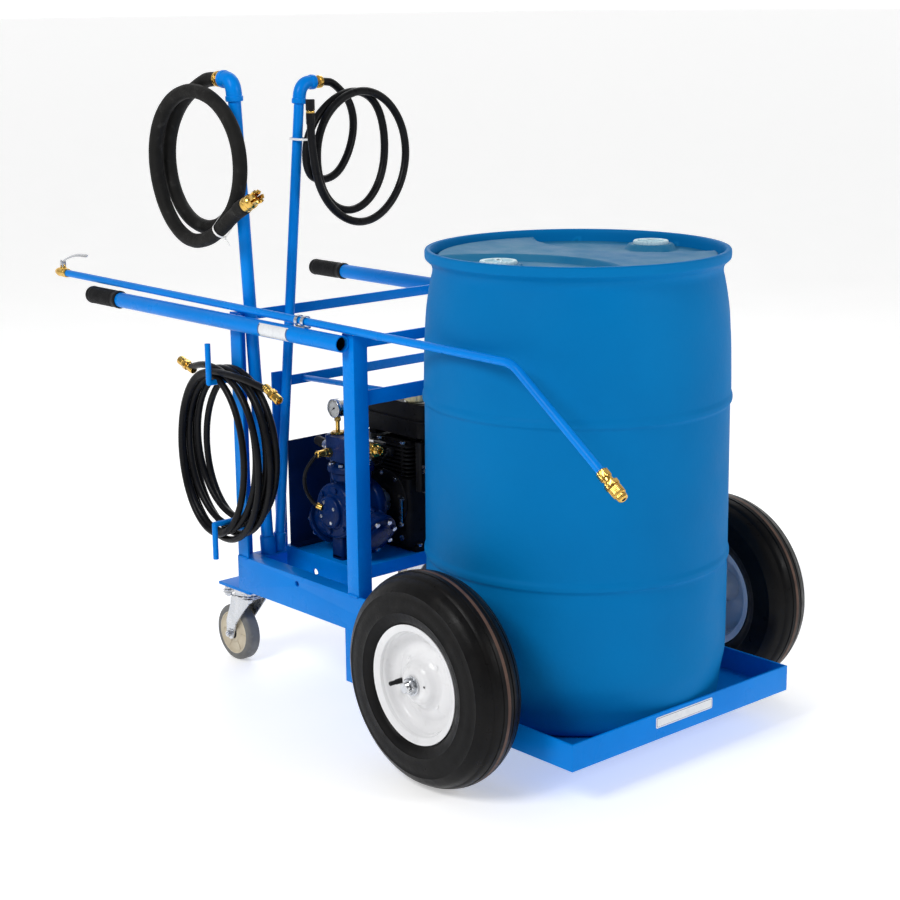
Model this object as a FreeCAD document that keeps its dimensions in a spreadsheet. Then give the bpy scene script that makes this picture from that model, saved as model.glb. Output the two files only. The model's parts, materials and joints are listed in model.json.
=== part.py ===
"""Wheeled sprayer cart: an engine and pump on a welded angle-iron deck, with a drum on a low tray.

Millimetres. +X points forward (the drum end), +Y to the left side, +Z up. Every sub-part is drawn
from the line under the big wheels' axle and is then placed `axle_ahead` in front of the origin,
which stands on the ground under the middle of the cart.
"""
import math
import os
import re

import FreeCAD
import Part
import Sketcher

V = FreeCAD.Vector
X, Y, Z = V(1, 0, 0), V(0, 1, 0), V(0, 0, 1)
SIDES = (("right", -1), ("left", 1))

CELLS = {
    # whole cart
    "axle_ahead": 517.5, "axle_height": 205, "wall": 5, "frame_half": 303.8,
    # drum tray
    "tray_front": 261, "tray_rear": -384.7, "tray_bottom": 72.4, "tray_lip": 51.3,
    "tray_flange": 51, "strap_width": 60, "strap_offset": 150,
    # deck
    "rail_bottom": 184.8, "rail_top": 260.2, "rail_flange": 36, "deck_rear": -750.8,
    "deck_front": -337.5, "rail_front": 70, "tie_hole_x": -541.6, "tie_hole_z": 243,
    "tie_hole_radius": 6.5, "plate": 6.4, "plate_rear": -827, "plate_front": -712,
    "plate_width": 99,
    # posts, rails and handles
    "post_flange": 35, "post_top": 790, "post_rear": -748, "bar_height": 21, "bar_thick": 6,
    "rear_bar_mid": 615, "front_bar_top": 783, "front_bar_low": 646, "front_bar_mid": 676,
    "stub_post_right": -206, "stub_post_left": -179, "stub_post_top": 649,
    "upright_rear_width": 38, "upright_axle_half": 35, "shelf_depth": 45, "base_strap": 40,
    "handle_radius": 16.7, "handle_bore": 13.9, "handle_height": 774, "handle_rear": -1265,
    "handle_front": -350, "grip_radius": 20, "grip_length": 128, "grip_end": 6,
    "hook_radius": 6, "hook_inset": 14, "hook_reach": 68, "hook_upper": 650, "hook_upper_tip": 733,
    "hook_lower": 345, "hook_lower_tip": 269,
    "clip_rear": -502, "clip_front": -470, "clip_half": 12, "clip_rise": 11, "clip_gap": 0.6,
    "clip_lip": 2, "clip_seat": 8,
    # big wheels
    "wheel_mid": 404, "tyre_radius": 205, "tyre_width": 112, "bead_radius": 101.6,
    "flange_radius": 113.4, "rim_half": 48.4, "rim_skin": 3.5, "hub_radius": 27,
    "axle_radius": 9.5, "axle_end": 475, "running_gap": 0.05, "stub_boss_radius": 24,
    "stub_boss_gap": 8.6, "washer_radius": 19, "washer_thick": 3, "washer_gap": 2.6,
    "nut_radius": 14, "nut_thick": 11, "stem_radius": 5, "stem_length": 40, "stem_back": -68,
    "stem_drop": 16, "stem_out": 6.5, "rim_web_inset": 30, "rim_groove": 70,
    # casters
    "caster_x": -775, "caster_y": 262, "caster_trail": 42, "caster_radius": 62.5,
    "caster_width": 32, "pin_radius": 5, "pin_half": 31, "pin_nut_radius": 8.5, "pin_nut": 7,
    "top_plate_long": 48, "top_plate_wide": 38, "top_plate_thick": 4, "race_radius": 33,
    "race_height": 13, "swivel_gap": 0.5, "plate_bolt_x": 40, "plate_bolt_y": 29,
    "plate_bolt_radius": 6.5, "plate_bolt_height": 6, "crown_radius": 31, "crown_thick": 5,
    "bridge_rear": 52, "bridge_front": 22, "bridge_thick": 7, "fork_half": 24, "fork_leg": 4,
    "fork_foot": 16, "fork_knee": 60, "tread_edge": 5, "tread_round": 6, "disc_radius": 42,
    "disc_rim": 46, "disc_dish": 4, "hub_proud": 3, "caster_hub": 14,
    # drum
    "drum_x": -32.5, "drum_y": 1.5, "drum_radius": 296, "hoop_radius": 298.5, "head_radius": 291,
    "drum_tall": 884, "drum_wall": 4,
    "bung_offset": 206, "bung_radius": 27, "bung_flange": 35, "bung_gap": 0.4,
    "bung_stem_bottom": 846, "bung_stem": 20.5, "bung_head": 8, "bung_grip_long": 22,
    "bung_grip_half": 4, "bung_grip_tall": 4.5, "drum_gap": 0.1,
    # engine and pump
    "base_top": 272, "base_rear": -705, "base_front": -462, "base_half": 206, "base_lip": 28,
    "base_hole_x": -606, "base_hole_z": 232, "base_hole_radius": 9,
    "shaft_x": -547, "shaft_z": 378, "shaft_radius": 11, "shaft_start": -114, "shaft_length": 74,
    "coupling_radius": 26, "coupling_start": -91, "coupling_length": 29,
    "feet_rear": -628, "feet_front": -466, "feet_right": -40, "feet_left": 70, "feet_height": 12,
    "case_rear": -620, "case_front": -474, "case_right": -58, "case_left": 70, "case_top": 432,
    "case_bore": 20, "fin_inset": 8, "fin_right": -46, "fin_left": 62, "fin_start": 2,
    "fin_pitch": 9, "fin_thick": 5,
    "barrel_rear": -592, "barrel_front": -502, "barrel_right": -30, "barrel_left": 46,
    "barrel_top": 508,
    "cowl_radius": 92, "cowl_wall": 6, "cowl_depth": 52, "cowl_cheek": 1, "cowl_room": 46,
    "cowl_lift": 8, "rope_radius": 1.8, "rope_y": 96, "rope_lift": 68, "rope_length": 138,
    "pull_x": -82, "pull_y": 78, "pull_radius": 9, "pull_length": 36, "rope_hole": 4,
    "tank_rear": -640, "tank_front": -425, "tank_right": -55, "tank_left": 150,
    "tank_bottom": 526, "tank_height": 74, "tank_corner": 16,
    "cap_x": -480, "cap_y": -25, "cap_radius": 24, "cap_height": 20, "cap_gap": 0.4,
    "muffler_rear": -690, "muffler_front": -622, "muffler_right": -38, "muffler_left": 66,
    "muffler_bottom": 440, "muffler_top": 515,
    "cleaner_rear": -462, "cleaner_front": -372, "cleaner_right": -45, "cleaner_left": 62,
    "cleaner_bottom": 410, "cleaner_top": 515, "neck_right": -20, "neck_left": 30,
    "neck_bottom": 400, "neck_top": 430,
    "throttle_x": -490, "throttle_half": 3, "throttle_face": -64, "throttle_thick": 4,
    "throttle_bottom": 330, "throttle_top": 392, "throttle_knob": 5, "throttle_pin": 334,
    "throttle_pin_length": 7.5, "throttle_knob_y": -64.5, "throttle_pin_y": -66,
    "guard_rear": -700, "guard_thick": 3, "guard_foot": 25, "guard_right": -200,
    "guard_left": 66, "guard_top": 505,
    # pump and manifold
    "core_radius": 60, "core_start": -200, "core_length": 105, "snout_radius": 34,
    "snout_length": 14, "pump_foot_half": 18, "pump_foot_right": -192, "pump_foot_left": -108,
    "pump_y": -150, "arm_radius": 44, "arm_length": 82, "cover_radius": 50, "cover_thick": 14,
    "cover_crown": 34, "cover_rise": 8, "pump_bore_start": -116, "pump_bore": 30,
    "outlet_rear": -590, "outlet_front": -500, "outlet_right": -186, "outlet_left": -134,
    "outlet_bottom": 482, "outlet_top": 540, "outlet_y": -160,
    "valve_radius": 12, "valve_length": 64, "valve_z": 520, "collar_radius": 15,
    "collar_x": -462, "collar_length": 14, "coupler_radius": 11, "coupler_length": 58,
    "coupler_z": 500, "barb_x": -570, "barb_radius": 8, "barb_length": 10,
    "gauge_x": -575, "gauge_z": 590, "gauge_radius": 20, "gauge_right": -172,
    "gauge_thick": 24, "gauge_stem": 4.5, "gauge_stem_length": 32,
    "knob_x": -520, "knob_radius": 16, "knob_tall": 20, "knob_z": 552, "knob_screw": 5,
    "knob_gap": 0.4, "knob_screw_length": 12,
    "lever_x": -481, "lever_hub": 7, "lever_hub_z": 532.5, "lever_hub_tall": 8,
    "lever_reach": 60, "lever_half": 5, "lever_thick": 4,
    # risers
    "mast_x": -722, "suction_radius": 13.35, "suction_foot": -243, "suction_top": -291,
    "suction_tall": 1247, "return_radius": 10.65, "return_foot": -215, "return_top": -124,
    "return_tall": 1235, "knee_rise": 20, "knee_extra": 5, "band_extra": 3.5, "band_length": 26,
    "elbow_arm": 36, "tail_length": 18, "tail_less": 1, "socket_length": 52, "socket_extra": 2,
    "foot_depth": 12,
    # hoses
    "suction_hose": 30, "return_hose": 17, "spray_hose": 14.5, "pump_hose": 8,
    "strainer_radius": 15, "strainer_length": 22, "strainer_tip": 12, "strainer_tip_length": 30,
    "plug_radius": 9.5, "plug_length": 40, "ferrule_radius": 8, "ferrule_length": 18,
    "swivel_radius": 11, "swivel_length": 20, "tie_width": 4, "suction_tie": 24,
    "return_tie": 12.7, "tie_thick": 1.5, "return_tie_y": -144.6, "return_tie_z": 1140,
    # lance
    "lance_radius": 8, "lance_y": -312, "lance_z": 798.5, "lance_bend_x": 96,
    "lance_reach": 1486, "lance_bend": 35.3, "lance_bend_radius": 60, "lance_drop": 252,
    "lance_tilt": 0.44, "trigger_angle": 14, "trigger_length": 112, "trigger_width": 9,
    "trigger_thick": 3,
}

# Points that aren't sizes of the cart, in millimetres from the line under the big wheels' axle.
DRUM_OUTSIDE = [("0", "0"), ("268", "0"), ("282", "14"), ("286", "40"), ("drum_radius", "96"),
                ("drum_radius", "268"), ("hoop_radius", "280"), ("hoop_radius", "310"),
                ("drum_radius", "322"), ("drum_radius", "573"), ("hoop_radius", "585"),
                ("hoop_radius", "615"), ("drum_radius", "627"), ("drum_radius - 2", "700"),
                ("drum_radius - 6", "764"), ("drum_radius - 14", "819"),
                ("drum_radius - 18.5", "848"), ("head_radius", "860"), ("head_radius", "drum_tall"),
                ("head_radius - 14", "drum_tall"), ("head_radius - 16", "862"), ("0", "866")]
DRUM_INSIDE = [("0", "drum_wall"), ("264", "drum_wall"), ("278", "16"), ("282", "42"),
               ("drum_radius - drum_wall", "98"), ("drum_radius - drum_wall", "640"),
               ("drum_radius - 6 - drum_wall", "760"), ("drum_radius - 14 - drum_wall", "815"),
               ("drum_radius - 24", "842"), ("drum_radius - 30", "858"), ("0", "862")]
TIE_ROD = {"radius": 6, "rear": (-123, 627), "front": (-165, 655)}
PUMP_ANGLES = (90, 210, 330)
PUMP_HOSE = [(-570, -196, 500), (-572, -224, 496), (-590, -236, 462), (-598, -232, 424),
             (-584, -222, 394), (-562, -214, 384)]
SUCTION_RING = {"centre": (-805, -304.5, 1091), "normal": (0, -1, 0), "across": 320, "tall": 338,
                "band": 48, "thick": 62}
SUCTION_START = (-48, -22, -30)
SUCTION_END = ((-666, -351, 1000), (-609, -351, 1026))
SUCTION_TIE = ("-712", "-334", "992")
STRAINER_WAY = (56, 0, 27)
RETURN_RING = {"centre": (-703, -9, 1098), "normal": (1, 0, 0), "across": 272, "tall": 297,
               "band": 40, "thick": 54}
RETURN_START = (36, 43, -29)
RETURN_END = ((-658, -130, 1110), (-658, -146, 1184))
SPRAY_RING = {"centre": (-736, -310, 492), "normal": (0, -1, 0), "across": 364, "tall": 396,
              "band": 33, "thick": 50}
SPRAY_TAILS = {"rear": ((-800, -335, 644), (-857, -335, 662), (-34, 0, 11)),
               "front": ((-640, -335, 680), (-574, -335, 651), (40, 0, -19))}
LANCE_NOZZLE = ((0, 22, 10), (22, 14, 13), (36, 18, 8.5), (54, 10, 10))

doc = FreeCAD.newDocument("sprayer_cart")
sheet = doc.addObject("Spreadsheet::Sheet", "dims")
for line, (name, value) in enumerate(CELLS.items(), start=1):
    sheet.set(f"A{line}", name)
    sheet.set(f"B{line}", str(value))
    sheet.setAlias(f"B{line}", name)
doc.recompute()

finished = []


def formula(text):
    """An expression in cell names, with each name pointing at the sheet."""
    return re.sub(r"[a-z][a-z_]*", lambda m: "dims." + m[0] if m[0] in CELLS else m[0], str(text))


def size(text):
    """The present value of an expression."""
    return float(sheet.evalExpression(formula(text)))


def bind(obj, prop, text):
    obj.setExpression(prop, formula(text))


def bind_place(obj, x="0", y="0", z="0", turn=None):
    """Places an object, with its position bound to the sheet."""
    if turn:
        obj.Placement = FreeCAD.Placement(V(), turn)
    for axis, text in zip("xyz", (x, y, z)):
        bind(obj, f"Placement.Base.{axis}", text)


def block(name, x, y, z):
    """A box between two values along each axis."""
    box = doc.addObject("Part::Box", name)
    for side, (low, high) in zip(("Length", "Width", "Height"), (x, y, z)):
        bind(box, side, f"({high}) - ({low})")
    bind_place(box, x[0], y[0], z[0])
    return box


def rod(name, radius, start, length, along=Z):
    """A cylinder from a start point along a direction."""
    cylinder = doc.addObject("Part::Cylinder", name)
    bind(cylinder, "Radius", radius)
    bind(cylinder, "Height", length)
    bind_place(cylinder, *start, turn=FreeCAD.Rotation(Z, along))
    return cylinder


def dome(name, radius, centre):
    ball = doc.addObject("Part::Sphere", name)
    bind(ball, "Radius", radius)
    bind_place(ball, *centre)
    return ball


def fuse(name, *shapes):
    joined = doc.addObject("Part::MultiFuse", name)
    joined.Shapes = list(shapes)
    return joined


def cut(name, base, *tools):
    result = doc.addObject("Part::Cut", name)
    result.Base = base
    result.Tool = tools[0] if len(tools) == 1 else fuse(name + "_tool", *tools)
    return result


def tube(name, outer, inner, start, length, along=Z):
    """A pipe: one cylinder less another."""
    return cut(name, rod(name + "_outer", outer, start, length, along),
               rod(name + "_inner", inner, start, length, along))


def feature(name, shape):
    """A shape made with Part's own functions."""
    obj = doc.addObject("Part::Feature", name)
    obj.Shape = shape
    return obj


def subpart(label, *shapes):
    """Gathers the solids of one named piece and stands them in the cart's frame."""
    group = doc.addObject("Part::Compound", label)
    group.Label = label
    group.Links = list(shapes)
    bind_place(group, "axle_ahead")
    finished.append(group)
    return group


def sketch_on(body, plane, outline):
    """A closed outline of straight lines whose corners are all bound to the sheet."""
    sketch = body.newObject("Sketcher::SketchObject", body.Name + "_sketch")
    origin = [f for f in body.Origin.OriginFeatures if f.Role == plane][0]
    sketch.AttachmentSupport = [(origin, "")]
    sketch.MapMode = "FlatFace"
    corners = [V(size(p[0]), size(p[1]), 0) for p in outline]
    for i, corner in enumerate(corners):
        onward = corners[(i + 1) % len(corners)]
        sketch.addGeometry(Part.LineSegment(corner, onward), False)
    for i, point in enumerate(outline):
        sketch.addConstraint(Sketcher.Constraint("Coincident", i, 2, (i + 1) % len(outline), 1))
        for kind, text, value, axis in (("DistanceX", point[0], corners[i].x, -2),
                                        ("DistanceY", point[1], corners[i].y, -1)):
            if abs(value) < 1e-6:
                sketch.addConstraint(Sketcher.Constraint("PointOnObject", i, 1, axis))
            else:
                row = sketch.addConstraint(Sketcher.Constraint(kind, -1, 1, i, 1, value))
                sketch.renameConstraint(row, f"{kind}_{i}")
                bind(sketch, f"Constraints.{kind}_{i}", text)
    return sketch


def turned(name, outline):
    """A body turned about Z from an outline of radius and height."""
    body = doc.addObject("PartDesign::Body", name)
    spin = body.newObject("PartDesign::Revolution", name + "_turn")
    spin.Profile = sketch_on(body, "XZ_Plane", outline)
    spin.ReferenceAxis = (spin.Profile[0], ["V_Axis"])
    spin.Angle = 360
    return body


def padded(name, plane, outline, length):
    """A body padded from an outline."""
    body = doc.addObject("PartDesign::Body", name)
    pad = body.newObject("PartDesign::Pad", name + "_pad")
    pad.Profile = sketch_on(body, plane, outline)
    bind(pad, "Length", length)
    return body


def rounded(body, radius, wanted):
    """Adds a fillet to the body's edges that a test picks."""
    doc.recompute()
    base = body.Tip
    edges = [f"Edge{i}" for i, e in enumerate(base.Shape.Edges, start=1) if wanted(e)]
    fillet = body.newObject("PartDesign::Fillet", body.Name + "_round")
    fillet.Base = (base, edges)
    bind(fillet, "Radius", radius)
    body.Tip = fillet
    return body


def lying(side):
    """A turned part's own Z laid along the cart's Y, outwards on that side."""
    return FreeCAD.Rotation(Z, V(0, side, 0))


# ---------------------------------------------------------------- drum tray and deck

def make_tray():
    """An angle-iron ring with a strap under the drum's rear and a wide plate under its front."""
    outer = block("tray_outer", ("tray_rear", "tray_front"), ("-frame_half", "frame_half"),
                  ("tray_bottom", "tray_bottom + tray_lip"))
    inner = block("tray_inner", ("tray_rear + wall", "tray_front - wall"),
                  ("wall - frame_half", "frame_half - wall"),
                  ("tray_bottom + wall", "tray_bottom + 2 * tray_lip"))
    window = block("tray_window", ("tray_rear + tray_flange", "tray_front - tray_flange"),
                   ("tray_flange - frame_half", "frame_half - tray_flange"), ("0", "rail_bottom"))
    rear = "drum_x - strap_offset"
    front = "drum_x + strap_offset - strap_width / 2"
    straps = [block(f"tray_strap_{name}", along, ("tray_flange - frame_half", "frame_half - tray_flange"),
                    ("tray_bottom", "tray_bottom + wall"))
              for name, along in (("rear", (f"{rear} - strap_width / 2", f"{rear} + strap_width / 2")),
                                  ("front", (front, "tray_front - tray_flange")))]
    subpart("drum_tray", fuse("tray", cut("tray_ring", outer, inner, window), *straps))


def make_tray_uprights():
    """Flats from the tray up to the deck: two at its rear corners and two by the axle."""
    flats = []
    for side, s in SIDES:
        across = sorted((f"{s} * frame_half", f"{s} * (frame_half - wall)"), key=size)
        flats.append(block(f"upright_rear_{side}", ("tray_rear", "tray_rear + upright_rear_width"), across,
                           ("tray_bottom + tray_lip", "rail_bottom")))
        flats.append(block(f"upright_axle_{side}", ("-upright_axle_half", "upright_axle_half"), across,
                           ("tray_bottom + tray_lip", "rail_bottom")))
    subpart("tray_uprights", *flats)


def make_rail(side, s):
    """A channel whose web carries on forward past the drum as a plate for the stub axle."""
    web = sorted((f"{s} * frame_half", f"{s} * (frame_half - wall)"), key=size)
    flange = sorted((f"{s} * (frame_half - wall)", f"{s} * (frame_half - rail_flange)"), key=size)
    length = ("deck_rear", "deck_front")
    pieces = [block(f"rail_web_{side}", ("deck_rear", "rail_front"), web, ("rail_bottom", "rail_top")),
              block(f"rail_low_{side}", length, flange, ("rail_bottom", "rail_bottom + wall")),
              block(f"rail_high_{side}", length, flange, ("rail_top - wall", "rail_top"))]
    hole = rod(f"tie_hole_{side}", "tie_hole_radius", ("tie_hole_x", web[0], "tie_hole_z"), "wall", Y)
    subpart(f"deck_rail_{side}", cut(f"rail_{side}", fuse(f"rail_whole_{side}", *pieces), hole))


def make_cross_members():
    """Channels across the deck's two ends, and the plates that the casters bolt to."""
    across = ("wall - frame_half", "frame_half - wall")
    inside = ("rail_flange - frame_half", "frame_half - rail_flange")
    level = ("rail_bottom + wall", "rail_top - wall")
    members = [block("cross_rear", ("deck_rear", "deck_rear + wall"), across, level),
               block("cross_rear_shelf", ("deck_rear + wall", "deck_rear + shelf_depth"), inside,
                     ("rail_top - wall", "rail_top")),
               block("cross_front", ("deck_front - wall", "deck_front"), across, level),
               block("cross_strap", ("base_front - base_strap", "base_front"), inside,
                     ("rail_bottom", "rail_bottom + wall")),
               block("cross_strap_rear", ("base_rear", "base_rear + base_strap"), inside,
                     ("rail_bottom", "rail_bottom + wall"))]
    rear_beam = fuse("rear_beam", members[0], members[1])
    plates = []
    for side, s in SIDES:
        reach = sorted((f"{s} * frame_half", f"{s} * (frame_half - plate_width)"), key=size)
        plates.append(block(f"caster_plate_{side}", ("plate_rear", "plate_front"), reach,
                            ("rail_bottom - plate", "rail_bottom")))
    subpart("deck_cross_members", rear_beam, *members[2:], *plates)


# ---------------------------------------------------------------- posts, bars, handles

def make_corner_posts():
    """Four angle-iron posts with their corners outwards."""
    posts = []
    for side, s in SIDES:
        for end, corner, inward in (("rear", "post_rear", 1), ("front", "deck_front", -1)):
            far_x, near_x = f"{inward} * post_flange", f"{inward} * wall"
            far_y, near_y = f"{-s} * post_flange", f"{-s} * wall"
            outline = [("0", "0"), (far_x, "0"), (far_x, near_y), (near_x, near_y),
                       (near_x, far_y), ("0", far_y)]
            post = padded(f"post_{end}_{side}", "XY_Plane", outline, "post_top - rail_top")
            bind_place(post, corner, f"{s} * frame_half", "rail_top")
            posts.append(post)
    subpart("corner_posts", *posts)


def make_frame_bars():
    """Flat bars across the posts, the short upright behind the risers and the tie rod."""
    inside = ("wall - frame_half", "frame_half - wall")
    rear = ("post_rear + wall", "post_rear + wall + bar_thick")
    front = ("deck_front - wall - bar_thick", "deck_front - wall")
    upright = ("stub_post_right", "stub_post_left")
    bars = [block("bar_rear_top", rear, inside, ("post_top - bar_height", "post_top")),
            block("bar_rear_mid", rear, (upright[1], inside[1]),
                  ("rear_bar_mid", "rear_bar_mid + bar_height")),
            block("bar_front_top", front, inside, ("front_bar_top - bar_height", "front_bar_top")),
            block("bar_front_mid", front, inside, ("front_bar_low", "front_bar_mid")),
            block("bar_upright", rear, upright, ("rail_top", "stub_post_top"))]
    start = V(size(rear[1]), *TIE_ROD["rear"])
    end = V(size(front[0]), *TIE_ROD["front"])
    tie = feature("tie_rod", Part.makeCylinder(TIE_ROD["radius"], (end - start).Length, start, end - start))
    around = ("rear_bar_mid - post_flange", "front_bar_mid + post_flange")
    ends = [block("tie_rear_space", ("post_rear", rear[1]), inside, around),
            block("tie_front_space", (front[0], "deck_front"), inside, around)]
    subpart("frame_bars", *bars, cut("tie_rod_trimmed", tie, *ends))


def make_handle(side, s):
    """A handle tube on the outside of the posts, open in front, with a closed grip behind."""
    middle = f"{s} * (frame_half + handle_radius)"
    start = ("handle_rear", middle, "handle_height")
    subpart(f"handle_{side}", tube(f"handle_tube_{side}", "handle_radius", "handle_bore", start,
                                   "handle_front - handle_rear", X))
    body = rod(f"grip_body_{side}", "grip_radius", ("handle_rear - grip_end", middle, "handle_height"),
               "grip_length", X)
    bore = rod(f"grip_bore_{side}", "handle_radius", start, "grip_length", X)
    subpart(f"grip_{side}", cut(f"grip_sleeve_{side}", body, bore))


def make_hose_hooks():
    """Two bent bars on the right rear post: the upper one turns up and the lower one down."""
    hooks = []
    for name, way in (("upper", Z), ("lower", -Z)):
        level, tip = f"hook_{name}", f"hook_{name}_tip"
        root = ("post_rear + hook_inset", "-frame_half", level)
        knee = ("post_rear + hook_inset", "-frame_half - hook_reach", level)
        arm = rod(f"hook_arm_{name}", "hook_radius", root, "hook_reach", -Y)
        elbow = dome(f"hook_elbow_{name}", "hook_radius", knee)
        length = f"{tip} - {level}" if way == Z else f"{level} - {tip}"
        rise = rod(f"hook_rise_{name}", "hook_radius", knee, length, way)
        hooks.append(fuse(f"hook_whole_{name}", arm, elbow, rise))
    subpart("hose_hooks", *hooks)


def make_lance_clip():
    """A zinc saddle on the right handle, open upwards, that holds the lance."""
    body = block("clip_body", ("clip_rear", "clip_front"), ("lance_y - clip_half", "lance_y + clip_half"),
                 ("handle_height", "lance_z + clip_rise"))
    along = ("clip_rear - clip_seat", "clip_front + clip_seat")
    slot = block("clip_slot", along, ("lance_y - lance_radius - clip_gap",
                                      "lance_y + lance_radius + clip_gap"),
                 ("lance_z - lance_radius + clip_lip", "lance_z + 2 * handle_radius"))
    seat = rod("clip_tube_space", "handle_radius", (along[0], "-frame_half - handle_radius",
                                                    "handle_height"), f"({along[1]}) - ({along[0]})", X)
    under = block("clip_under", along, ("lance_y - 2 * clip_half", "lance_y + 2 * clip_half"),
                  ("handle_height - clip_lip", "handle_height + clip_seat"))
    subpart("lance_clip", cut("clip", body, slot, seat, under))


# ---------------------------------------------------------------- casters

def make_caster_plates():
    """The casters' zinc top plates with their swivel races, and four bolts in each."""
    plates, bolts = [], []
    face = "rail_bottom - plate"
    for side, s in SIDES:
        middle = f"{s} * caster_y"
        plate = block(f"top_plate_{side}", ("caster_x - top_plate_long", "caster_x + top_plate_long"),
                      (f"{middle} - top_plate_wide", f"{middle} + top_plate_wide"),
                      (f"{face} - top_plate_thick", face))
        race = rod(f"race_{side}", "race_radius",
                   ("caster_x", middle, f"{face} - top_plate_thick - race_height"), "race_height")
        plates.append(fuse(f"top_plate_race_{side}", plate, race))
        for i, (u, v) in enumerate(((-1, -1), (-1, 1), (1, -1), (1, 1))):
            bolts.append(rod(f"caster_bolt_{side}_{i}", "plate_bolt_radius",
                             (f"caster_x + {u} * plate_bolt_x", f"{middle} + {v} * plate_bolt_y",
                              f"{face} - top_plate_thick - plate_bolt_height"), "plate_bolt_height"))
    subpart("caster_top_plates", *plates)
    subpart("caster_bolts", *bolts)


def make_caster(side, s):
    """The swivelling fork with its bolt, and the wheel that runs on it."""
    middle = f"{s} * caster_y"
    wheel_x = "caster_x - caster_trail"
    crown_top = "rail_bottom - plate - top_plate_thick - race_height - swivel_gap"
    bridge_top = f"{crown_top} - crown_thick"
    leg_top = f"{bridge_top} - bridge_thick"
    crown = rod(f"fork_crown_{side}", "crown_radius", ("caster_x", middle, bridge_top), "crown_thick")
    bridge = block(f"fork_bridge_{side}", ("caster_x - bridge_rear", "caster_x + bridge_front"),
                   (f"{middle} - fork_half", f"{middle} + fork_half"), (leg_top, bridge_top))
    legs = []
    toe = f"caster_radius - fork_foot - ({leg_top})"
    for name, outer_face in (("a", "fork_leg - fork_half"), ("b", "fork_half")):
        outline = [("bridge_front", "0"), ("-bridge_rear", "0"), ("-caster_trail - fork_foot", "-fork_knee"),
                   ("-caster_trail - fork_foot", toe), ("fork_foot - caster_trail", toe)]
        leg = padded(f"fork_leg_{name}_{side}", "XZ_Plane", outline, "fork_leg")
        bind_place(leg, "caster_x", f"{middle} + {outer_face}", leg_top)
        legs.append(leg)
    pin = rod(f"fork_pin_{side}", "pin_radius", (wheel_x, f"{middle} - pin_half", "caster_radius"),
              "2 * pin_half", Y)
    nuts = [rod(f"fork_nut_{name}_{side}", "pin_nut_radius", (wheel_x, f"{middle} {start}", "caster_radius"),
                "pin_nut", Y) for name, start in (("a", "- pin_half"), ("b", "+ fork_half"))]
    subpart(f"caster_fork_{side}", fuse(f"fork_{side}", crown, bridge, *legs, pin, *nuts))
    bore, half = "pin_radius + running_gap", "caster_width / 2"
    upper = [("caster_hub", f"{half} + hub_proud"), ("caster_hub", f"{half} - disc_dish"),
             ("disc_radius", f"{half} - disc_dish"), ("disc_rim", half),
             ("caster_radius - tread_edge", half), ("caster_radius", f"{half} - tread_round")]
    lower = [(r, f"-({h})") for r, h in upper]
    outline = [(bore, f"-({half}) - hub_proud")] + lower + upper[::-1] + [(bore, f"{half} + hub_proud")]
    wheel = turned(f"caster_disc_{side}", outline)
    bind_place(wheel, wheel_x, middle, "caster_radius", turn=lying(s))
    subpart(f"caster_wheel_{side}", wheel)


# ---------------------------------------------------------------- big wheels

def make_big_wheel(side, s):
    """A pneumatic tyre with its valve stem on a dished pressed-steel rim."""
    half = "tyre_width / 2"
    outline = [("bead_radius", "-rim_half + rim_skin"), ("flange_radius + 2", "-rim_half + rim_skin"),
               ("flange_radius + 14", f"-{half}"), ("tyre_radius - 38", f"-{half}"),
               ("tyre_radius - 9", f"-{half} + 16"), ("tyre_radius", f"-{half} + 32")]
    mirrored = [(r, f"-({h})") for r, h in reversed(outline)]
    tyre = turned(f"tyre_casing_{side}", outline + mirrored)
    bind_place(tyre, "0", f"{s} * wheel_mid", "axle_height", turn=lying(s))
    stem = rod(f"valve_stem_{side}", "stem_radius",
               ("stem_back", f"{s} * (wheel_mid + stem_out)", "axle_height - stem_drop"), "stem_length",
               V(0, s, 0))
    subpart(f"tyre_{side}", tyre, stem)

    bore = "axle_radius + running_gap"
    web = "rim_half - rim_web_inset"
    rim_outline = [(bore, "-rim_half - 8"), ("hub_radius", "-rim_half - 8"), ("hub_radius", f"{web} - 8"),
                   ("rim_groove", f"{web} - 18"), ("bead_radius - rim_skin", f"{web} - 6"),
                   ("bead_radius - rim_skin", "-rim_half"), ("flange_radius", "-rim_half"),
                   ("flange_radius", "-rim_half + rim_skin"), ("bead_radius", "-rim_half + rim_skin"),
                   ("bead_radius", "rim_half - rim_skin"), ("flange_radius", "rim_half - rim_skin"),
                   ("flange_radius", "rim_half"), ("bead_radius - rim_skin", "rim_half"),
                   ("bead_radius - rim_skin", web), ("rim_groove", f"{web} - 12"),
                   ("hub_radius", f"{web} + 6"), ("hub_radius - 6", "rim_half + 2"),
                   (bore, "rim_half + 2")]
    rim = turned(f"rim_pressing_{side}", rim_outline)
    bind_place(rim, "0", f"{s} * wheel_mid", "axle_height", turn=lying(s))
    subpart(f"rim_{side}", rim)


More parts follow.
